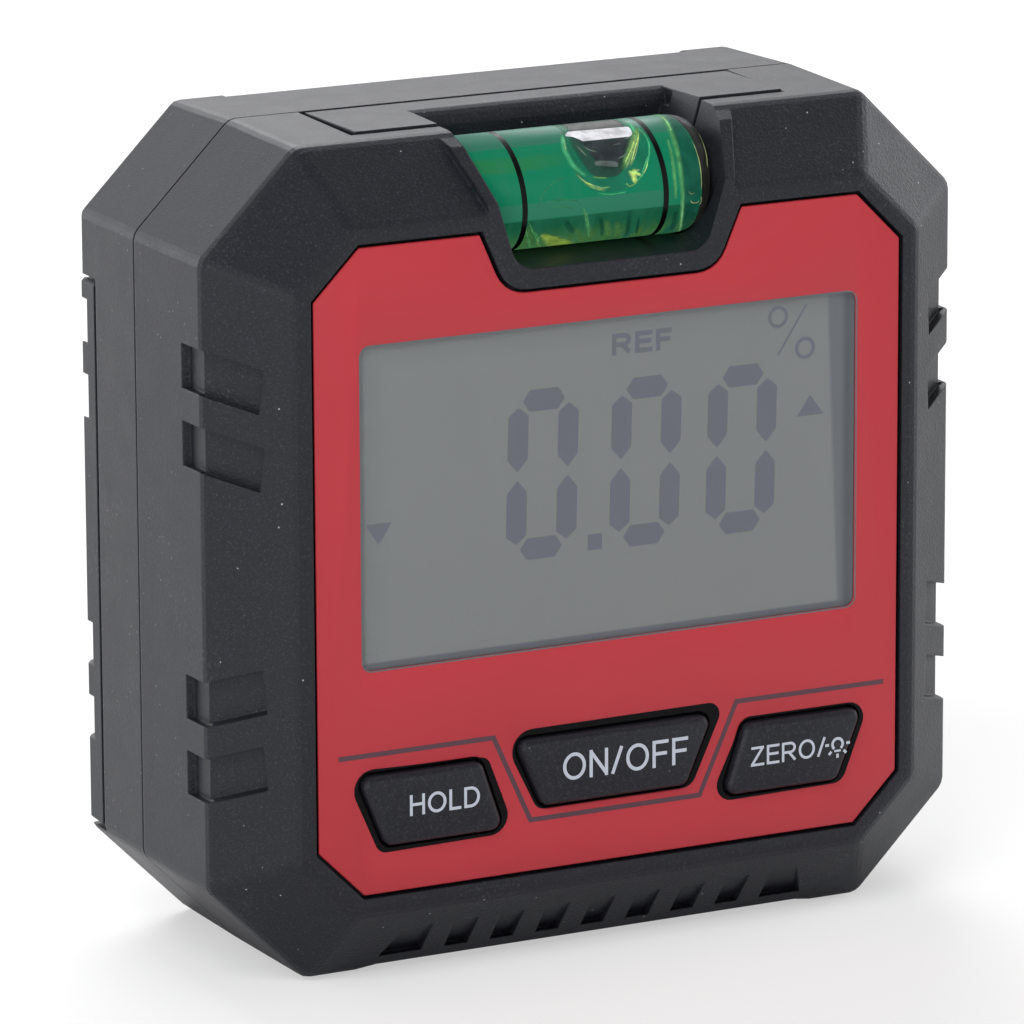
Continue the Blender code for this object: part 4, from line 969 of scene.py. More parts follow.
def band_part(left: Points, right: Points, front: float, back: float, closed: bool) -> Part:
    """A flat band of even thickness between two lines with the same number of points.

    Its section is a rectangle whose corners run along the two lines, at the front and at the back.

    Args:
        left: Points of the one line, in X and Z.
        right: Points of the other.
        front: World Y of the front face.
        back: World Y of the back face.
        closed: Whether the band closes on itself.

    Returns:
        Its points and faces.
    """
    ring = [(left, front), (left, back), (right, back), (right, front)]
    rows = np.stack([np.column_stack([p[:, 0], np.full(len(p), y), p[:, 1]]) for p, y in ring], 1)
    count = len(left)
    faces = grid_faces(count, 4, wrap_rows=closed, wrap_columns=True).tolist()
    if not closed:
        faces += [[3, 2, 1, 0], [4 * count - 4, 4 * count - 3, 4 * count - 2, 4 * count - 1]]
    return rows.reshape(-1, 3), faces


def stroke(path: Points, width: float, closed: bool = False) -> Points:
    """The two sides of a line of constant width along a path, with mitred corners.

    Each corner moves half the width along the mean of its two edge normals, divided by the cosine of
    half the turn, which is kept above the mitre limit.

    Args:
        path: Points in X and Z.
        width: Width of the line.
        closed: Whether the path closes on itself.

    Returns:
        Two rows of points for each path point: the left side, then the right side.
    """
    step = np.roll(path, -1, 0) - path
    if not closed:
        step[-1] = step[-2]
    ahead = step / np.linalg.norm(step, axis=1, keepdims=True)
    behind = np.roll(ahead, 1, 0)
    if not closed:
        behind[0] = ahead[0]
    mean = ahead + behind
    mean /= np.linalg.norm(mean, axis=1, keepdims=True)
    normal = np.column_stack([-mean[:, 1], mean[:, 0]])
    reach = width / 2 / np.maximum((mean * ahead).sum(1), MITRE_LIMIT)
    return np.stack([path + normal * reach[:, None], path - normal * reach[:, None]])


def stroke_part(path: Points, width: float, front: float, back: float, closed: bool = False) -> Part:
    """A line of constant width along a path, as a thin closed strip."""
    return band_part(*stroke(path, width, closed), front, back, closed)


def arc(centre: Points, radius: float, start: float, end: float, steps: int) -> Points:
    """Points of an arc in X and Z, from a start to an end in degrees from +X towards +Z."""
    angle = np.radians(np.linspace(start, end, steps))
    return np.column_stack([centre[0] + radius * np.cos(angle), centre[1] + radius * np.sin(angle)])


def smooth_path(knots: Points, steps: int = 8) -> Points:
    """A curve through knots: a cubic on each span, whose slope at a knot is half the chord past it.

    Args:
        knots: Points of two numbers each.
        steps: Points on each span.

    Returns:
        The points of the curve.
    """
    padded = np.vstack([2 * knots[0] - knots[1], knots, 2 * knots[-1] - knots[-2]])
    t = np.linspace(0.0, 1.0, steps, endpoint=False)[None, :, None]
    a, b, c, d = (padded[i : len(padded) - 3 + i][:, None, :] for i in range(4))
    curve = 2 * b + (c - a) * t + (2 * a - 5 * b + 4 * c - d) * t**2 + (3 * b - a - 3 * c + d) * t**3
    return np.vstack([curve.reshape(-1, 2) / 2, knots[-1]])


@dataclass(frozen=True)
class Letter:
    """A plain capital: its width as a share of its height, and its centre lines in a box of 1 by 1.

    A ring is a letter whose one line closes on itself.
    """

    width: float
    strokes: tuple[Knots, ...]
    ring: bool = False


def bow(start: float, reach: float, low: float, high: float) -> Knots:
    """Half an ellipse between two level lines that start at the stem.

    Args:
        start: X where the level lines end and the ellipse begins.
        reach: X of the ellipse's far side.
        low: Height of the lower line.
        high: Height of the upper line.

    Returns:
        The knots from the stem along the upper line and back along the lower one.
    """
    turn = np.linspace(np.pi / 2, -np.pi / 2, 15)
    x = start + (reach - start) * np.cos(turn)
    z = (low + high) / 2 + (high - low) / 2 * np.sin(turn)
    return ((0.0, high), *zip(x.tolist(), z.tolist()), (0.0, low))


def full_circle(steps: int = 40) -> Knots:
    """The circle that fills a box of 1 by 1."""
    turn = np.arange(steps) / steps * 2 * np.pi
    return tuple(zip((0.5 + 0.5 * np.cos(turn)).tolist(), (0.5 + 0.5 * np.sin(turn)).tolist()))


LETTER_GAP = 0.155
PEN_LIFT = 0.0005 * MM
STEM = ((0.0, 0.0), (0.0, 1.0))
FAR_STEM = ((1.0, 0.0), (1.0, 1.0))
LETTERS = {
    "D": Letter(0.82, (STEM, bow(0.42, 1.0, 0.0, 1.0))),
    "E": Letter(0.74, (((1.0, 1.0), (0.0, 1.0), (0.0, 0.0), (1.0, 0.0)), ((0.0, 0.53), (0.92, 0.53)))),
    "F": Letter(0.68, (((1.0, 1.0), (0.0, 1.0), (0.0, 0.0)), ((0.0, 0.51), (0.88, 0.51)))),
    "H": Letter(0.78, (STEM, FAR_STEM, ((0.0, 0.53), (1.0, 0.53)))),
    "L": Letter(0.62, (((0.0, 1.0), (0.0, 0.0), (1.0, 0.0)),)),
    "N": Letter(0.78, (STEM, FAR_STEM, ((0.02, 0.97), (0.98, 0.03)))),
    "O": Letter(0.96, (full_circle(),), ring=True),
    "R": Letter(0.84, (STEM, bow(0.6, 0.97, 0.47, 1.0), ((0.5, 0.46), (1.02, -0.02)))),
    "Z": Letter(0.80, (((0.06, 1.0), (0.97, 1.0)), ((0.03, 0.0), (1.0, 0.0)), ((0.03, 0.02), (0.96, 0.98)))),
    "/": Letter(0.46, (((-0.1, -0.06), (1.1, 1.06)),)),
}


def square_ends(path: Points, half: float) -> Points:
    """Lengthens the ends of an open path that lie level or upright.

    Args:
        path: Points in X and Z.
        half: Half the width of the pen.

    Returns:
        The path with its level and upright ends half a pen further out.
    """
    longer = path.copy()
    for end, inner in ((0, 1), (-1, -2)):
        way = path[end] - path[inner]
        if np.abs(way).min() < 1e-9:
            longer[end] += way / np.linalg.norm(way) * half
    return longer


def words_part(text: str, box: Knots, pen: float, front: float, back: float) -> Part:
    """Words that fill a box, drawn with a pen of one width.

    Each centre line is the letter's own, scaled to the letter's share of the box less the pen's width. The
    lines of a letter cross, so each lies a hair further out than the one before.

    Args:
        text: The words.
        box: Lower left and upper right corner in X and Z, in millimetres.
        pen: Width of the strokes, in millimetres.
        front: World Y of the face of the print.
        back: World Y of its back.

    Returns:
        Points and faces.
    """
    (low, high), pen = np.array(box) * MM, pen * MM
    ends = np.cumsum([LETTERS[sign].width + LETTER_GAP for sign in text])
    unit = (high[0] - low[0]) / (ends[-1] - LETTER_GAP)
    parts = []
    for sign, end in zip(text, ends):
        letter = LETTERS[sign]
        corner = low + [(end - LETTER_GAP - letter.width) * unit + pen / 2, pen / 2]
        span = np.array([letter.width * unit - pen, high[1] - low[1] - pen])
        for k, knots in enumerate(letter.strokes):
            path = corner + np.array(knots) * span
            path = path if letter.ring else square_ends(path, pen / 2)
            parts.append(stroke_part(path, pen, front - k * PEN_LIFT, back, letter.ring))
    return join_parts(parts)


@dataclass
class SoftEdges:
    """Copies of solids whose edges are rounded by a bevel: the panel and the keys."""

    steps: int = 3
    sharp: float = math.radians(24.0)
    flat: float = math.radians(0.6)
    merge: float = 0.001 * MM

    def soften(self, node: str, finish: bpy.types.Material, body: Body, width: float) -> None:
        """Makes such a copy, which stands for the solid.

        Args:
            node: The solid's name.
            finish: Material of the copy.
            body: The body that it rides on.
            width: Width of the bevel.
        """
        work = bmesh.new()
        work.from_mesh(frame["nodes"][node].data)
        bmesh.ops.remove_doubles(work, verts=work.verts, dist=self.merge)
        bmesh.ops.dissolve_limit(
            work, angle_limit=self.flat, verts=work.verts, edges=work.edges, delimit={"NORMAL"}
        )
        mesh = bpy.data.meshes.new(node + " soft")
        work.to_mesh(mesh)
        work.free()
        mesh.materials.clear()
        mesh.materials.append(finish)
        made = show(node + "_soft", mesh)
        edge = made.modifiers.new("soft edges", "BEVEL")
        edge.width = width
        edge.segments = self.steps
        edge.limit_method = "ANGLE"
        edge.angle_limit = self.sharp
        edge.miter_outer = "MITER_ARC"
        edge.use_clamp_overlap = False
        edge.harden_normals = True
        smooth(mesh)
        ride_piece(made, body)
        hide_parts(node)


@dataclass
class FacePanel:
    """The red panel with its printed guide line."""

    edge_width: float = 0.12 * MM
    line_width: float = 0.36 * MM
    line_thick: float = 0.012 * MM
    line_sink: float = 0.05 * MM
    line: Knots = ((-21.63, 17.0), (-9.5, 17.0), (-6.6, 10.6), (7.0, 10.6), (10.0, 17.15), (22.1, 17.1))

    def build(self, edges: SoftEdges) -> None:
        """Softens the panel and lays the line on it.

        Args:
            edges: What rounds the panel's edges.
        """
        edges.soften("face_panel", PANEL_RED.material(), Body.GAUGE, self.edge_width)
        front = face_of("face_panel")
        path = np.array(self.line) * MM
        part = stroke_part(path, self.line_width, front - self.line_thick, front + self.line_sink)
        closed_piece("guide_line_print", part, PANEL_PRINT.material())
        log.info("panel and guide line")


@dataclass
class Display:
    """The clear window, the grey film behind it and the marks on the film."""

    film_depth: float = 0.35 * MM
    film_thick: float = 0.3 * MM
    mark_thick: float = 0.008 * MM
    window_front: float = 0.1 * MM
    window_back: float = 0.32 * MM
    corner: float = 0.75 * MM
    gap: float = 0.25 * MM
    edge_line: float = 0.1 * MM
    mark_sink: float = 0.05 * MM
    digit_middles: Triple = (-5.42 * MM, 2.77 * MM, 10.47 * MM)
    digit_floor: float = 29.5 * MM
    digit_height: float = 12.2 * MM
    slant: float = 0.026
    bar_half: float = 1.66 * MM
    bar_thick: float = 1.56 * MM
    bar_tip: float = 0.55 * MM
    upright_out: float = 1.98 * MM
    upright_length: float = 4.62 * MM
    upright_thick: float = 1.6 * MM
    upright_end: float = 1.18 * MM
    upright_tip: float = 0.62 * MM
    middle_tip: float = 0.9 * MM
    point: Knots = ((-1.85, 29.62), (-0.72, 29.62), (-0.72, 30.76), (-1.85, 30.76))
    arrow_up: Knots = ((14.96, 37.43), (17.16, 37.43), (16.06, 38.93))
    arrow_down: Knots = ((-19.26, 33.5), (-18.24, 31.96), (-17.19, 33.5))
    percent_rings: Knots = ((13.42, 44.86), (15.62, 42.4))
    percent_steps: int = 48
    percent_radius: float = 0.68 * MM
    percent_pen: float = 0.26 * MM
    percent_bar: Knots = ((13.45, 42.1), (15.72, 45.55))
    percent_bar_pen: float = 0.16 * MM
    word_box: Knots = ((0.1, 43.45), (4.86, 45.02))
    word_pen: float = 0.35

    def opening(self) -> tuple[Points, Points]:
        """Lower left and upper right corner of the panel's opening, in X and Z."""
        low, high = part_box("display_window")
        return np.array([low.x - self.gap, low.z - self.gap]), np.array([high.x + self.gap, high.z + self.gap])

    def segment(self, middle: Points, half: float, thick: float, lie: Lie, tips: Points) -> Points:
        """Outline of a hexagonal segment.

        Args:
            middle: Its middle in X and Z.
            half: Half its length from tip to tip.
            thick: Its width.
            lie: Which way it lies.
            tips: Length of the point at its start and at its end.

        Returns:
            Six corners, counter-clockwise.
        """
        along = np.array([-half, -half + tips[0], half - tips[1], half, half - tips[1], -half + tips[0]])
        across = np.array([0.0, -1.0, -1.0, 0.0, 1.0, 1.0]) * thick / 2
        flat = np.column_stack([along, across])
        if lie is Lie.UPRIGHT:
            flat = np.column_stack([-across, along])
        return middle + flat

    def digit(self, middle: float) -> list[Points]:
        """The six lit segments of a nought.

        Each corner is moved sideways by its height above the digit's middle times the slant.

        Args:
            middle: X of the digit's middle.

        Returns:
            The outline of each segment.
        """
        low, high = self.digit_floor, self.digit_floor + self.digit_height
        tips = np.array([self.bar_tip, self.bar_tip])
        bars = [np.array([middle, z]) for z in (low + self.bar_thick / 2, high - self.bar_thick / 2)]
        shapes = [self.segment(p, self.bar_half, self.bar_thick, Lie.LEVEL, tips) for p in bars]
        half = self.upright_length / 2
        tips = np.array([self.upright_tip, self.middle_tip])
        for out in (-self.upright_out, self.upright_out):
            foot = np.array([middle + out, low + self.upright_end + half])
            head = np.array([middle + out, high - self.upright_end - half])
            shapes.append(self.segment(foot, half, self.upright_thick, Lie.UPRIGHT, tips))
            shapes.append(self.segment(head, half, self.upright_thick, Lie.UPRIGHT, tips[::-1]))
        for shape in shapes:
            shape[:, 0] += (shape[:, 1] - (low + high) / 2) * self.slant
        return shapes

    def marks(self) -> None:
        """Digits, point, arrows, percent sign and word, as thin plates on the film."""
        front, back = depth(self.film_depth - self.mark_thick), depth(self.film_depth + self.mark_sink)
        shapes = [shape for middle in self.digit_middles for shape in self.digit(middle)]
        shapes += [np.array(corners) * MM for corners in (self.point, self.arrow_up, self.arrow_down)]
        parts = [slab(shape, front, back) for shape in shapes]
        last = 360.0 - 360.0 / self.percent_steps
        for middle in np.array(self.percent_rings) * MM:
            ring = arc(middle, self.percent_radius, 0.0, last, self.percent_steps)
            parts.append(stroke_part(ring, self.percent_pen, front, back, closed=True))
        parts.append(stroke_part(np.array(self.percent_bar) * MM, self.percent_bar_pen, front, back))
        ink = DISPLAY_MARK.material()
        closed_piece("display_marks", join_parts(parts), ink)
        word = words_part("REF", self.word_box, self.word_pen, front, back)
        closed_piece("display_word", word, ink)

    def build(self) -> None:
        """Makes the film, its marks, the window and the painted highlight line round its edge."""
        low, high = self.opening()
        outline = rounded_rectangle(low, high, self.corner)
        film = slab(outline, depth(self.film_depth), depth(self.film_depth + self.film_thick))
        grey = DisplayGrey("display grey", low[0], high[0], low[1], high[1])
        new_piece("display_film", film, grey.material())
        self.marks()
        near = depth(self.window_front)
        pane = slab(outline, near, depth(self.window_back))
        window = new_piece("display_window_pane", pane, WINDOW_CLEAR.material())
        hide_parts("display_window")
        # painted highlight: a thin pale bluish line round the window where its edge catches light
        edge = rounded_rectangle(low + self.edge_line / 2, high - self.edge_line / 2, self.corner)
        line = stroke_part(edge, self.edge_line, near - self.mark_thick, near + self.mark_thick, closed=True)
        closed_piece("display_window_edge_highlight", line, WINDOW_EDGE_HIGHLIGHT.material())
        log.info("display")


@dataclass(frozen=True)
class Key:
    """One key: its solid, its body, and its words with their pen and their box in millimetres."""

    node: str
    body: Body
    words: str
    pen: float
    box: Knots


@dataclass(frozen=True)
class Rim:
    """One black rim in millimetres: corners of its hole and its own, and the radii of its own."""

    hole: Knots
    reach: Knots
    radii: tuple[float, ...]


HOLD_HOLE = ((-18.25, 10.09), (-8.49, 10.09), (-10.44, 15.76), (-20.58, 15.76))
ON_OFF_HOLE = ((-5.9, 11.34), (5.9, 11.34), (8.35, 16.83), (-8.35, 16.83))
ZERO_HOLE = ((8.49, 10.09), (18.25, 10.09), (20.58, 15.76), (10.44, 15.76))


@dataclass
class Keys:
    """The three rubber keys, the black rims round them and their prints."""

    edge_width: float = 0.22 * MM
    print_thick: float = 0.01 * MM
    print_sink: float = 0.03 * MM
    rim_thick: float = 0.012 * MM
    rim_lap: float = 0.3 * MM
    hole_corner: float = 0.96 * MM
    lamp_middle: Pair = (18.0, 13.08)
    lamp_radius: float = 0.42 * MM
    lamp_arc: Pair = (-50.0, 230.0)
    lamp_steps: int = 28
    lamp_pen: float = 0.2 * MM
    lamp_sink: float = 0.05 * MM
    neck: Knots = ((-0.26, -0.5), (0.26, -0.5))
    neck_pen: float = 0.16 * MM
    ray_ends: Pair = (0.72, 1.02)
    ray_angles: tuple[float, ...] = (180.0, 0.0, 225.0, 270.0, 315.0)
    keys: tuple[Key, ...] = (
        Key("key_hold", Body.HOLD, "HOLD", 0.215, ((-16.4, 12.36), (-10.9, 13.88))),
        Key("key_on_off", Body.ON_OFF, "ON/OFF", 0.255, ((-4.3, 13.28), (5.75, 15.28))),
        Key("key_zero", Body.ZERO, "ZERO/", 0.19, ((10.85, 12.32), (16.98, 13.76))),
    )
    frames: tuple[Rim, ...] = (
        Rim(HOLD_HOLE, ((-18.53, 9.78), (-7.78, 9.91), (-9.97, 15.68), (-21.26, 16.04)), (0.9, 1.4, 0.8, 1.5)),
        Rim(ON_OFF_HOLE, ((-6.06, 11.3), (6.35, 11.3), (9.14, 17.33), (-9.01, 17.25)), (0.9, 1.2, 0.9, 1.6)),
        Rim(ZERO_HOLE, ((7.68, 9.86), (18.72, 10.0), (21.02, 15.87), (10.6, 15.9)), (1.2, 1.1, 1.2, 0.9)),
    )

    def rims(self) -> None:
        """Black frames from each hole's wall outwards: the rubber mat round the key, painted darker than the
        keys as the shade of the gap.
        """
        front = face_of("face_panel")
        parts = []
        for rim in self.frames:
            inner = round_corners(np.array(rim.hole) * MM, np.full(4, self.hole_corner))
            outer = round_corners(np.array(rim.reach) * MM, np.array(rim.radii) * MM)
            parts.append(band_part(outer, inner, front - self.rim_thick, front + self.rim_lap, closed=True))
        closed_piece("key_rims", join_parts(parts), KEY_SHADE.material())

    def lamp(self, ink: bpy.types.Material) -> None:
        """The lamp sign on the right key: a ring with a neck and five short rays.

        Args:
            ink: The print's material.
        """
        front, middle = face_of("key_zero"), np.array(self.lamp_middle) * MM
        near, far = front - self.print_thick, front + self.lamp_sink
        ring = arc(middle, self.lamp_radius, *self.lamp_arc, self.lamp_steps)
        parts = [stroke_part(ring, self.lamp_pen, near, far)]
        parts.append(stroke_part(middle + np.array(self.neck) * MM, self.neck_pen, near, far))
        for angle in np.radians(self.ray_angles):
            ray = middle + np.outer(self.ray_ends, [np.cos(angle), np.sin(angle)]) * MM
            parts.append(stroke_part(ray, self.lamp_pen, near, far))
        closed_piece("lamp_sign_print", join_parts(parts), ink, Body.ZERO)

    def build(self, edges: SoftEdges) -> None:
        """Softens the keys and prints on them.

        Args:
            edges: What rounds the keys' edges.
        """
        rubber, ink = KEY_BLACK.material(), KEY_PRINT.material()
        for key in self.keys:
            edges.soften(key.node, rubber, key.body, self.edge_width)
            front = face_of(key.node)
            words = words_part(key.words, key.box, key.pen, front - self.print_thick, front + self.print_sink)
            closed_piece(key.node + "_print", words, ink, key.body)
        self.lamp(ink)
        self.rims()
        log.info("keys")


class Layer(Enum):
    """How far a mark in the vial lies above the liquid, in steps of its thickness."""

    DEEP = 1
    BODY = 2
    FILL = 3
    GLARE = 4
    RIM = 5
    LINE = 6


@dataclass(frozen=True)
class Streak:
    """A streak round the tube: knots of X in millimetres and angle in degrees, and its width."""

    knots: Knots
    width: float


@dataclass
class Vial:
    """The tube with its green liquid, the bubble and the black lines, drawn on the cylinder with painted light,
    shade and reflections.

    Everything here is laid out on the unrolled cylinder: X along it, and the angle round its axis from
    the front (0) over the top (90).
    """

    step: float = 0.004 * MM
    rows: int = 96
    columns: int = 7
    line_width: float = 0.42 * MM
    line_lean: float = 0.36 * MM
    line_left: float = -6.25 * MM
    line_right: float = 4.9 * MM
    line_black: Colour = (0.0015, 0.0025, 0.0025)
    dome_length: float = 1.8 * MM
    dome_drop: float = 0.65 * MM
    dome_rows: int = 12
    thin_end: float = 0.3

    def __post_init__(self) -> None:
        """Takes the tube's axis, radius and ends from the solid."""
        low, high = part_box("vial_tube")
        self.start, self.end = low.x, high.x
        self.axis_y, self.axis_z = (low.y + high.y) / 2, (low.z + high.z) / 2
        self.radius = (high.z - low.z) / 2

    def wrap(self, x: Points, angle: Points, lift: float) -> Points:
        """Places the unrolled cylinder on the tube.

        Y = axis - r cos a and Z = axis + r sin a, where r falls by a quarter ellipse towards the right end.

        Args:
            x: X of each point.
            angle: Angle of each point, in radians.
            lift: How far they lie above the tube.

        Returns:
            The points, with their three coordinates on the last axis.
        """
        share = np.clip((x - self.end + self.dome_length) / self.dome_length, 0.0, 1.0)
        r = self.radius + lift - self.dome_drop * (1.0 - np.sqrt(1.0 - share**2))
        return np.stack([x, self.axis_y - r * np.cos(angle), self.axis_z + r * np.sin(angle)], -1)

    def core(self) -> None:
        """The liquid in its tube: a closed cylinder with a rounded right end."""
        angle = np.linspace(-np.pi, np.pi, self.rows, endpoint=False)
        turn = np.linspace(0.0, np.pi / 2, self.dome_rows)
        along = np.concatenate([[self.start], self.end - self.dome_length * (1.0 - np.sin(turn))])
        points = np.vstack([self.wrap(np.full(self.rows, x), angle, 0.0) for x in along])
        faces = grid_faces(len(along), self.rows, wrap_columns=True).tolist()
        last = len(points) - self.rows
        faces += [list(range(self.rows)), list(range(last + self.rows - 1, last - 1, -1))]
        green = LiquidGreen("vial green", self.axis_y, self.axis_z).material()
        piece = closed_piece("vial_liquid_in_tube", (points, faces), green)
        smooth(piece.data)
        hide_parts("vial_tube", "vial_liquid", "vial_plug")

    def sheet(
        self,
        name: str,
        edges: list[tuple[Points, Points]],
        finish: bpy.types.Material,
        layer: Layer,
    ) -> None:
        """Thin sheets on the tube, each ruled between two edge curves.

        Args:
            name: Name of the piece.
            edges: Left and right edge of each sheet, in X and length round the tube.
            finish: Its material, which may read the map across and along each sheet.
            layer: How far out it lies.
        """
        share = np.linspace(0.0, 1.0, self.columns)
        parts, maps = [], []
        for left, right in edges:
            flat = left[:, None, :] + (right - left)[:, None, :] * share[None, :, None]
            points = self.wrap(flat[..., 0], flat[..., 1] / self.radius, layer.value * self.step)
            parts.append((points.reshape(-1, 3), grid_faces(len(left), len(share)).tolist()))
            along = np.linspace(0.0, 1.0, len(left))
            maps.append(np.stack(np.meshgrid(share, along), -1).reshape(-1, 2))
        mesh = new_piece(name, join_parts(parts), finish).data
        corners = np.zeros(len(mesh.loops), np.int32)
        mesh.loops.foreach_get("vertex_index", corners)
        chart = mesh.uv_layers.new(name="chart")
        chart.data.foreach_set("uv", np.vstack(maps)[corners].ravel())
        smooth(mesh)

    def flat(self, knots: Knots) -> Points:
        """A smooth curve through knots of X in millimetres and angle in degrees, on the unrolled tube."""
        marks = np.array(knots)
        return smooth_path(np.column_stack([marks[:, 0] * MM, np.radians(marks[:, 1]) * self.radius]))

    def streaks(self, name: str, mark: LightMark, layer: Layer, rows: tuple[Streak, ...]) -> None:
        """Streaks of one finish, in one piece.

        Each is thinner towards its ends, by the root of a half sine wave along it.

        Args:
            name: Name of the piece.
            mark: Its finish.
            layer: How far out it lies.
            rows: The streaks.
        """
        edges = []
        for row in rows:
            path = self.flat(row.knots)
            swell = np.sin(np.linspace(0.0, np.pi, len(path))) ** 0.5
            taper = self.thin_end + (1.0 - self.thin_end) * swell
            edges.append(tuple(stroke(path, row.width * MM * taper)))
        self.sheet(name, edges, mark.material(), layer)

    def patch(self, name: str, mark: LightMark, layer: Layer, left: Knots, right: Knots) -> None:
        """A filled shape between a left and a right edge, both running upwards."""
        self.sheet(name, [(self.flat(left), self.flat(right))], mark.material(), layer)

    def over_top(self, knots: Knots) -> Knots:
        """The same edge carried on over the top and down the back, as in a mirror."""
        return knots + tuple((x, 180.0 - angle) for x, angle in reversed(knots))

    def lines(self) -> None:
        """The two black lines: hoops whose X follows the sine of the angle."""
        angle = np.linspace(-np.pi, np.pi, self.rows)
        for name, middle in (("left", self.line_left), ("right", self.line_right)):
            x = middle - self.line_lean * np.sin(angle)
            half = self.line_width / 2
            edges = [np.column_stack([x + side * half, angle * self.radius]) for side in (-1, 1)]
            ink = FlatInk(f"vial line {name}", self.line_black, roughness=0.3, sheen_level=0.12)
            self.sheet(f"vial_line_{name}", [tuple(edges)], ink.material(), Layer.LINE)

    def bubble(self) -> None:
        """The bubble: its shaded body, a painted highlight spot, and the white glare on it, a painted
        reflection of a lamp.
        """
        left = (
            (0.6, 0.5), (-0.9, 4.0), (-1.7, 12.0), (-2.25, 24.0), (-2.5, 36.0), (-2.62, 48.0), (-2.35, 60.0),
            (-2.0, 70.0), (-1.8, 80.0),
        )
        right = (
            (1.0, 0.5), (2.2, 5.0), (3.0, 11.0), (3.7, 22.0), (4.05, 34.0), (4.22, 46.0), (4.2, 58.0),
            (3.95, 70.0), (3.7, 80.0),
        )
        shade = LightMark("bubble shade", (0.012, 0.150, 0.085), 0.8, 0.06, 0.02, 2.5 * MM)
        self.patch("bubble_shade", shade, Layer.DEEP, self.over_top(left), self.over_top(right))
        left = (
            (0.2, 14.0), (-0.8, 18.0), (-1.4, 27.0), (-1.75, 40.0), (-1.9, 52.0), (-1.75, 62.0), (-1.35, 71.0),
            (-1.2, 80.0),
        )
        right = (
            (0.9, 14.0), (1.6, 19.0), (2.1, 28.0), (2.9, 40.0), (3.3, 50.0), (3.45, 60.0), (3.45, 70.0),
            (3.35, 80.0),
        )
        body = LightMark("bubble body", (0.022, 0.064, 0.048), 0.92, 0.1, 0.04, 2.5 * MM)
        self.patch("bubble_body", body, Layer.BODY, self.over_top(left), self.over_top(right))
        dark = LightMark("bubble dark", (0.030, 0.038, 0.043), 1.0, 0.16, 0.25)
        left = ((0.1, 20.0), (-0.4, 30.0), (-0.85, 42.0), (-1.2, 54.0), (-1.55, 64.0), (-1.5, 70.0))
        right = ((1.3, 22.0), (1.8, 30.0), (2.6, 42.0), (3.15, 54.0), (3.4, 64.0), (3.4, 70.0))
        self.patch("bubble_dark", dark, Layer.FILL, left, right)
        crest = LightMark("bubble crest", (0.085, 0.085, 0.088), 0.9, 0.1, 0.15)
        left, right = ((-1.5, 68.0), (-1.3, 80.0), (-1.2, 96.0)), ((3.4, 68.0), (3.35, 80.0), (3.3, 96.0))
        self.patch("bubble_crest", crest, Layer.FILL, left, right)
        left = ((-0.72, 55.0), (-1.0, 59.0), (-1.35, 63.0), (-1.78, 65.0), (-1.65, 68.5), (-1.35, 72.5))
        right = ((3.0, 55.0), (3.3, 58.0), (3.42, 63.0), (3.45, 67.0), (3.4, 69.5), (3.2, 70.6))
        # painted reflection: the white glare of a lamp on the top of the bubble
        glare = LightMark("bubble glare", (0.68, 0.68, 0.72), 1.0, 0.015, 0.03)
        self.patch("bubble_glare", glare, Layer.GLARE, left, right)
        # painted highlight: a small pale spot in the bubble
        spot = LightMark("bubble spot", (0.100, 0.128, 0.118), 0.9, 0.18, 0.05)
        row = Streak(((-0.5, 29.6), (-0.1, 29.4), (0.5, 28.2), (1.1, 26.9), (1.35, 26.2)), 0.52)
        self.streaks("bubble_spot", spot, Layer.GLARE, (row,))

    def rim(self) -> None:
        """Painted light caught round the rim of the bubble, and painted glows, faint lights and glints in it.
        """
        rim = LightMark("bubble rim", (0.070, 0.420, 0.190), 0.9, 0.45, 0.12)
        left = ((-1.2, 17.0), (-1.8, 24.0), (-2.22, 32.0), (-2.42, 46.0), (-2.2, 58.0), (-1.85, 70.0))
        right = ((2.2, 5.5), (3.0, 12.5), (3.5, 22.0), (3.95, 34.0), (4.2, 46.0), (4.15, 58.0), (3.9, 69.0))
        rows = (
            Streak(left, 0.62),
            Streak(right, 0.24),
            Streak(((3.0, 14.0), (3.45, 24.0), (3.8, 32.0)), 0.16),
            Streak(((-0.6, 1.2), (0.5, -1.4), (1.9, -0.6)), 0.13),
            Streak(((3.5, 60.0), (3.65, 68.0), (3.7, 80.0)), 0.4),
        )
        self.streaks("bubble_rim", rim, Layer.RIM, rows)
        glow = LightMark("bubble glow", (0.190, 0.400, 0.120), 0.75, 0.45, 0.2, 0.3 * MM)
        rows = (
            Streak(((0.2, 2.0), (-0.8, 6.5), (-1.5, 13.0), (-2.2, 24.0)), 0.26),
            Streak(((0.4, 14.5), (-0.3, 15.5), (-0.9, 17.5)), 0.16),
            Streak(((1.5, 19.0), (2.1, 30.0), (2.65, 40.0), (3.2, 50.0), (3.65, 60.0), (3.9, 70.0)), 0.85),
            Streak(((1.7, 8.0), (2.1, 4.5), (2.8, 9.0)), 0.2),
            Streak(((-1.0, 9.5), (-0.2, 6.0), (0.6, 5.5)), 0.14),
        )
        self.streaks("bubble_glow", glow, Layer.RIM, rows)
        pale = LightMark("bubble pale glow", (0.330, 0.460, 0.240), 0.8, 0.45, 0.25, 0.25 * MM)
        rows = (
            Streak(((1.75, 19.0), (2.4, 32.0), (3.1, 46.0), (3.7, 60.0)), 0.34),
            Streak(((2.2, 22.0), (2.8, 33.0), (3.35, 46.0), (3.8, 58.0)), 0.16),
            Streak(((-2.35, 44.0), (-2.2, 54.0), (-1.95, 66.0)), 0.22),
            Streak(((1.95, 15.0), (2.5, 17.0), (3.0, 20.0)), 0.3),
            Streak(((-2.1, 22.0), (-1.4, 12.5), (-0.4, 6.0), (0.3, 3.5)), 0.2),
        )
        self.streaks("bubble_pale_glow", pale, Layer.RIM, rows)
        # painted light: faint pale streaks inside the bubble
        faint_light = LightMark("bubble faint light", (0.170, 0.230, 0.180), 0.75, 0.45, 0.3)
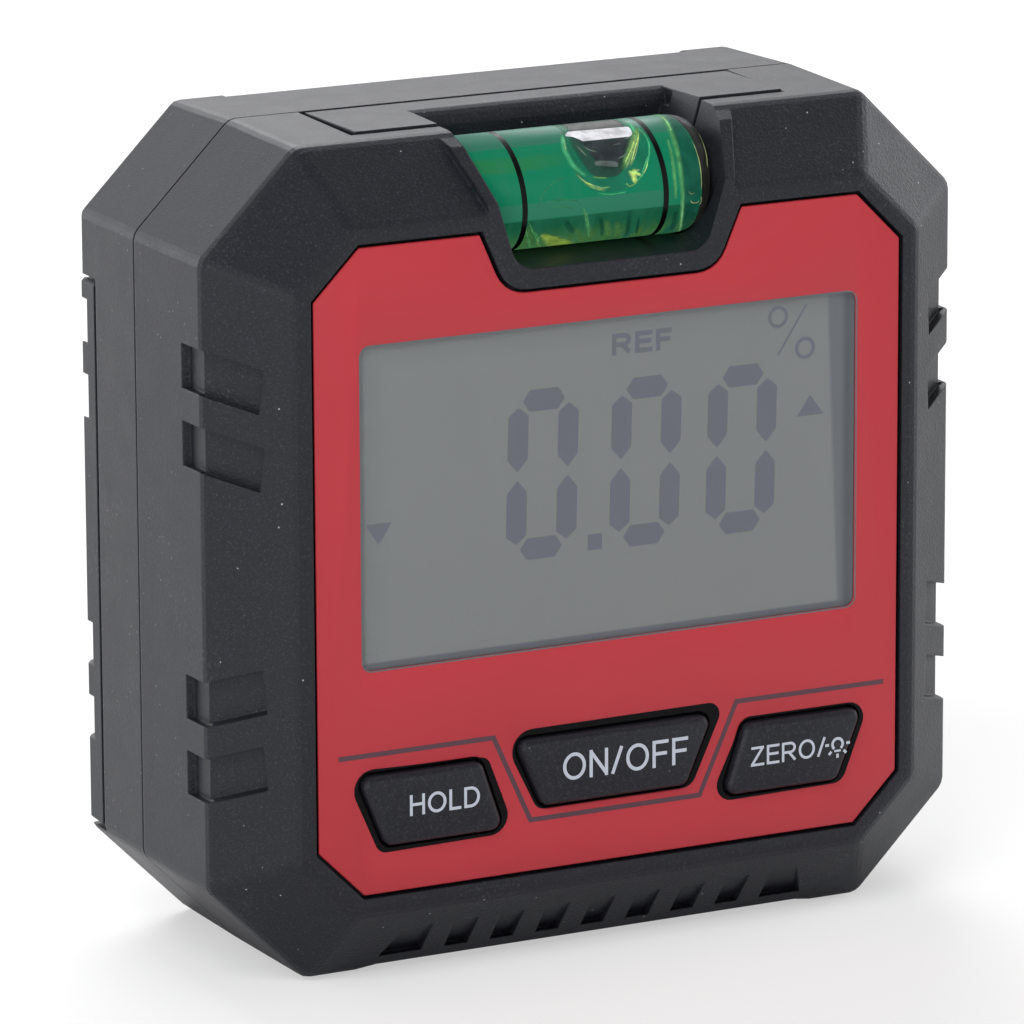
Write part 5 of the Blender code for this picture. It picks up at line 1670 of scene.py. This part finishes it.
        rows = (
            Streak(((-0.85, 36.0), (-1.15, 44.0), (-1.4, 52.0)), 0.2),
            Streak(((0.1, 41.0), (-0.5, 44.0), (-0.95, 50.0)), 0.16),
            Streak(((1.3, 31.5), (1.9, 34.0), (2.5, 37.0)), 0.18),
            Streak(((2.4, 52.5), (2.9, 54.0), (3.3, 52.0)), 0.14),
            Streak(((1.3, 46.5), (1.7, 47.5), (2.1, 48.0)), 0.1),
        )
        self.streaks("bubble_faint_lights", faint_light, Layer.RIM, rows)
        glint = LightMark("bubble glint", (0.560, 0.800, 0.220), 1.0, 0.45, 0.25, 0.3 * MM)
        rows = (
            Streak(((2.55, 6.0), (2.4, 14.0), (2.65, 21.0)), 0.66),
            Streak(((1.95, 18.5), (2.5, 16.5), (3.1, 13.0)), 0.36),
            Streak(((2.1, 21.0), (2.55, 31.0), (3.05, 42.0), (3.55, 52.0), (3.95, 64.0)), 0.13),
            Streak(((1.75, 24.0), (2.3, 34.0), (2.9, 44.0), (3.35, 54.0)), 0.11),
            Streak(((-1.55, 13.5), (-1.2, 11.0), (-0.8, 8.8)), 0.14),
            Streak(((3.1, 13.5), (3.5, 20.5), (3.7, 27.0)), 0.1),
        )
        self.streaks("bubble_glint", glint, Layer.LINE, rows)

    def depths(self) -> None:
        """Painted light and shade in the lower part of the liquid."""
        # painted light low in the liquid: patches, glows, streaks, circles and arcs; the low shade marks are
        # painted shade
        sun = LightMark("low sun", (0.290, 0.450, 0.070), 0.92, 0.3, 0.14)
        left = ((-3.0, -76.0), (-4.0, -56.0), (-4.7, -37.5))
        right = ((-0.4, -76.0), (-1.5, -57.0), (-4.2, -37.0))
        self.patch("vial_low_sun", sun, Layer.BODY, left, right)
        soft_glow = LightMark("low soft glow", (0.070, 0.195, 0.050), 0.7, 0.45, 0.25, 2.0 * MM)
        rows = (
            Streak(((-6.2, -24.0), (-5.4, -42.0), (-4.6, -70.0)), 1.5),
            Streak(((0.3, -26.0), (0.7, -38.0), (1.3, -54.0), (2.0, -76.0)), 0.9),
            Streak(((1.3, -30.0), (1.8, -48.0), (2.5, -76.0)), 0.8),
            Streak(((-1.9, -34.0), (-1.1, -50.0), (-0.2, -76.0)), 0.7),
            Streak(((-1.0, -30.0), (-0.3, -50.0), (0.5, -76.0)), 0.4),
            Streak(((3.3, -40.0), (3.7, -55.0), (4.3, -76.0)), 0.7),
        )
        self.streaks("vial_low_soft_glow", soft_glow, Layer.DEEP, rows)
        leaf = LightMark("low streaks", (0.075, 0.300, 0.110), 0.8, 0.45, 0.2)
        rows = (
            Streak(((-1.6, -10.0), (-1.25, -24.0), (-0.75, -40.0), (-0.1, -60.0)), 0.36),
            Streak(((-5.9, -18.0), (-5.25, -34.0), (-4.5, -49.0), (-3.7, -66.0)), 0.26),
            Streak(((-5.2, -31.0), (-4.7, -42.0), (-4.3, -52.0), (-3.6, -70.0)), 0.18),
            Streak(((-6.0, -26.0), (-5.5, -40.0), (-4.9, -56.0), (-4.1, -74.0)), 0.4),
            Streak(((-1.35, -14.0), (-0.95, -30.0), (-0.4, -46.0)), 0.22),
        )
        self.streaks("vial_low_streaks", leaf, Layer.FILL, rows)
        circles = LightMark("low circles", (0.330, 0.470, 0.110), 0.5, 0.45, 0.1, 0.3 * MM)
        rows = (
            Streak(((-3.6, -68.0), (-4.3, -56.0), (-4.55, -45.0), (-4.2, -38.5)), 0.18),
            Streak(((-3.0, -70.0), (-3.5, -58.0), (-3.4, -47.0), (-2.6, -45.0)), 0.16),
            Streak(((-2.2, -72.0), (-2.6, -60.0), (-2.4, -51.0), (-1.9, -50.0)), 0.14),
        )
        self.streaks("vial_low_circles", circles, Layer.GLARE, rows)
        arcs = LightMark("liquid arcs", (0.045, 0.250, 0.120), 0.45, 0.45, 0.2)
        rows = (
            Streak(((-5.2, -14.0), (-4.9, 4.0), (-3.8, 16.0), (-2.6, 19.5)), 0.2),
            Streak(((-5.0, -4.0), (-3.6, -1.5), (-2.2, -4.5), (-1.5, -12.0)), 0.24),
            Streak(((-4.4, -8.0), (-3.2, -8.5), (-2.2, -14.0)), 0.3),
        )
        self.streaks("vial_liquid_arcs", arcs, Layer.FILL, rows)
        shade = LightMark("low shade", (0.005, 0.058, 0.036), 0.7, 0.45, 0.3, 2.0 * MM)
        rows = (
            Streak(((2.1, -20.0), (2.4, -38.0), (3.0, -70.0)), 0.55),
            Streak(((2.9, -24.0), (3.3, -45.0), (3.8, -66.0)), 0.34),
            Streak(((-0.2, -22.0), (0.3, -38.0), (0.9, -60.0)), 0.5),
            Streak(((-2.9, -22.0), (-2.4, -33.0), (-1.7, -44.0)), 0.7),
            Streak(((5.9, -22.0), (6.1, -40.0), (6.6, -66.0)), 0.7),
        )
        self.streaks("vial_low_shade", shade, Layer.FILL, rows)

    def clear_end(self) -> None:
        """The clear right end: a pale ring of painted light, darker green beyond it, the dark dome, and painted
        highlights along its edge.
        """
        ring = (
            (7.6, -74.0), (6.62, -38.0), (6.25, -8.0), (6.12, 16.0), (6.22, 46.0), (6.5, 72.0), (6.65, 88.0),
        )
        far = ((7.9, -74.0), (7.85, -38.0), (7.8, -8.0), (7.76, 16.0), (7.62, 46.0), (7.4, 72.0), (7.3, 88.0))
        green = LightMark("end green", (0.008, 0.085, 0.055), 0.8, 0.05, 0.01)
        self.patch("vial_end_green", green, Layer.DEEP, self.over_top(ring), self.over_top(far))
        dark = LightMark("end dark", (0.017, 0.018, 0.016), 1.0, 0.04, 0.01)
        rear = self.over_top(far)
        self.patch("vial_end_dark", dark, Layer.BODY, rear, tuple((8.74, angle) for _, angle in rear))
        grey = LightMark("end grey", (0.078, 0.082, 0.088), 0.9, 0.2, 0.3)
        left = self.over_top(((7.66, 58.0), (7.6, 66.0), (7.5, 76.0)))
        self.patch("vial_end_grey", grey, Layer.FILL, left, tuple((8.6, angle) for _, angle in left))
        pale = LightMark("end ring", (0.090, 0.330, 0.120), 0.75, 0.45, 0.04, 0.5 * MM)
        rows = (Streak(self.over_top(ring), 0.7), Streak(((5.75, -14.0), (5.6, 14.0), (5.75, 48.0)), 0.5))
        self.streaks("vial_end_ring", pale, Layer.RIM, rows)
        # painted highlights along the rounded end's edge
        edge = LightMark("end edge", (0.240, 0.520, 0.230), 0.8, 0.45, 0.1)
        rows = (
            Streak(((7.5, -72.0), (6.95, -52.0), (6.6, -36.0), (6.3, -14.0)), 0.24),
            Streak(((6.35, 56.0), (6.5, 70.0), (6.62, 84.0)), 0.3),
        )
        self.streaks("vial_end_edge", edge, Layer.LINE, rows)
        thin = LightMark("end line", (0.300, 0.360, 0.170), 0.9, 0.4, 0.15)
        rows = (
            Streak(((7.78, -8.0), (7.77, 6.0), (7.72, 26.0), (7.6, 44.0)), 0.14),
            Streak(((8.4, 13.0), (8.58, 30.0), (8.62, 58.0)), 0.17),
            Streak(((6.75, -6.0), (6.9, -9.5), (7.3, -9.0)), 0.08),
            Streak(((6.95, -15.5), (7.1, -19.0), (7.5, -20.0), (7.75, -18.0)), 0.12),
            Streak(((7.8, -13.0), (7.9, -19.0), (7.8, -24.0)), 0.1),
        )
        self.streaks("vial_end_lines", thin, Layer.LINE, rows)

    def build(self) -> None:
        """Makes the liquid, the lines, the bubble and the lights in the liquid."""
        self.core()
        self.lines()
        self.depths()
        self.clear_end()
        self.bubble()
        self.rim()
        log.info("vial")


@dataclass
class CarriedSolids:
    """The solids as they come: the housings, and what lies inside for other poses and cuts."""

    def build(self) -> None:
        """Gives each solid the finish of its slot."""
        finishes = {
            Slot.WHITE: INSIDE_WHITE,
            Slot.CONNECTOR: CONNECTOR_GREY,
            Slot.CHIP: CHIP_BLACK,
            Slot.BOARD: BOARD_GREEN,
            Slot.STEEL: STEEL,
            Slot.NICKEL: NICKEL,
            Slot.SLEEVE: SLEEVE,
            Slot.DISPLAY: DISPLAY_GLASS,
            Slot.HOUSING: HOUSING_BLACK,
            Slot.VIAL: VIAL_PLAIN,
            Slot.CLEAR: TUBE_PLAIN,
            Slot.PANEL: PANEL_RED,
            Slot.KEYS: KEY_BLACK,
        }
        materials = {slot: finish.material() for slot, finish in finishes.items()}
        for row in frame["record"]["subparts"]:
            node = frame["nodes"][row["node"]]
            node.data.materials.clear()
            node.data.materials.append(materials[Slot(row["material_slot"])])
        log.info("solids")


@dataclass(frozen=True)
class SoftLamp:
    """A square lamp: its place and side in metres, its power in watts, and whether gloss shows it."""

    name: str
    place: Triple
    side: float
    power: float
    mirrored: bool = True

    def hang(self, target: Triple) -> None:
        """Hangs the lamp and aims it.

        Args:
            target: The point that it is aimed at.
        """
        light = bpy.data.lights.new(self.name, "AREA")
        light.shape = "SQUARE"
        light.size = self.side
        light.energy = self.power
        made = show(self.name, light)
        made.visible_glossy = self.mirrored
        way = Vector(target) - Vector(self.place)
        made.matrix_world = Matrix.Translation(self.place) @ way.to_track_quat("-Z", "Y").to_matrix().to_4x4()


@dataclass
class Studio:
    """Pale floor, white surroundings, soft lamps and the camera."""

    floor_half: float = 3.0
    floor_drop: float = 0.0002
    floor_white: Colour = (0.86, 0.86, 0.86)
    floor_glow: float = 0.5
    floor_mirror: float = 0.1
    sky: float = 0.42
    flag_low: Triple = (-0.6, -0.55, 0.42)
    flag_high: Triple = (0.75, -0.2, 1.0)
    flag_grey: Colour = (0.2, 0.2, 0.22)
    camera_place: Triple = (-0.24173601, -0.46729796, 0.15916193)
    camera_right: Triple = (0.8891035898, -0.4576850502, -0.0043819335)
    camera_up: Triple = (0.1131703506, 0.2105492878, 0.9710105402)
    lens: float = 265.079
    target: Triple = (0.0, 0.0, 0.03)
    lamps: tuple[SoftLamp, ...] = (
        SoftLamp("key lamp", (-0.5, -0.45, 0.75), 0.5, 5.0, mirrored=False),
        SoftLamp("back lamp", (0.15, 0.7, 0.75), 0.6, 7.0),
        SoftLamp("left lamp", (-0.55, 0.75, 0.2), 0.5, 2.35),
        SoftLamp("right lamp", (0.9, 0.1, 0.25), 0.55, 2.7),
        SoftLamp("low left lamp", (-0.75, -0.65, 0.12), 0.5, 1.75),
    )

    def floor(self) -> None:
        """A wide white floor that shows white to the camera and keeps the shadow."""
        graph = Graph.material("floor white")
        inputs = {"Base Color": opaque(self.floor_white), "Roughness": 0.8}
        matt = graph.node("ShaderNodeBsdfPrincipled", inputs=inputs).outputs[0]
        path = graph.node("ShaderNodeLightPath").outputs
        mirrored = Signal(graph, path["Is Glossy Ray"]) * self.floor_mirror
        seen = mirrored.larger(path["Is Transmission Ray"]).larger(path["Is Camera Ray"])
        glow = graph.node("ShaderNodeEmission").outputs[0]
        inputs = {0: seen * self.floor_glow, 1: matt, 2: glow}
        finish = graph.end(graph.node("ShaderNodeMixShader", inputs=inputs))
        corners = np.array([[-1, -1, 0], [1, -1, 0], [1, 1, 0], [-1, 1, 0]]) * self.floor_half
        corners = corners - [0.0, 0.0, self.floor_drop]
        show_part("floor", (corners, [[0, 1, 2, 3]]), finish)

    def world(self) -> None:
        """White to camera, glossy and transmission rays, dimmer as a source of light."""
        made = bpy.data.worlds.new("studio")
        bpy.context.scene.world = made
        graph = Graph(made)
        path = graph.node("ShaderNodeLightPath").outputs
        seen = Signal(graph, path["Is Camera Ray"]).larger(path["Is Glossy Ray"])
        seen = seen.larger(path["Is Transmission Ray"])
        inputs = {"Color": opaque(WHITE), "Strength": self.sky + (1.0 - self.sky) * seen}
        glow = graph.node("ShaderNodeBackground", inputs=inputs).outputs[0]
        graph.node("ShaderNodeOutputWorld", inputs={0: glow})

    def flag(self) -> None:
        """A dark card above the front that only glossy surfaces show, so the upper bevels stay dark."""
        (left, front, foot), (right, back, head) = self.flag_low, self.flag_high
        corners = np.array([[left, front, foot], [right, front, foot], [right, back, head], [left, back, head]])
        finish = Graph.material("flag grey").finish(Base_Color=opaque(self.flag_grey), Roughness=0.9)
        made = show_part("flag", (corners, [[3, 2, 1, 0]]), finish)
        made.visible_camera = made.visible_diffuse = made.visible_shadow = made.visible_transmission = False

    def camera(self) -> None:
        """The camera at the viewing angle of the real one."""
        lens = bpy.data.cameras.new("camera")
        lens.lens = self.lens
        lens.sensor_width = 36.0
        lens.clip_start = 0.01
        lens.clip_end = 20.0
        made = show("camera", lens)
        right, up = Vector(self.camera_right), Vector(self.camera_up)
        turn = Matrix((right, up, right.cross(up))).transposed()
        made.matrix_world = Matrix.Translation(self.camera_place) @ turn.to_4x4()
        bpy.context.scene.camera = made

    def build(self) -> None:
        """Sets up the floor, the light and the camera."""
        self.floor()
        self.world()
        for lamp in self.lamps:
            lamp.hang(self.target)
        self.flag()
        self.camera()
        bpy.context.scene.view_settings.view_transform = "Standard"
        log.info("studio")


def main() -> None:
    """Builds the gauge's looks in order."""
    logging.basicConfig(level=logging.INFO, format="%(message)s")
    CarriedSolids().build()
    edges = SoftEdges()
    FacePanel().build(edges)
    Display().build()
    Keys().build(edges)
    Vial().build()
    Studio().build()


if __name__ == "__main__":
    main()
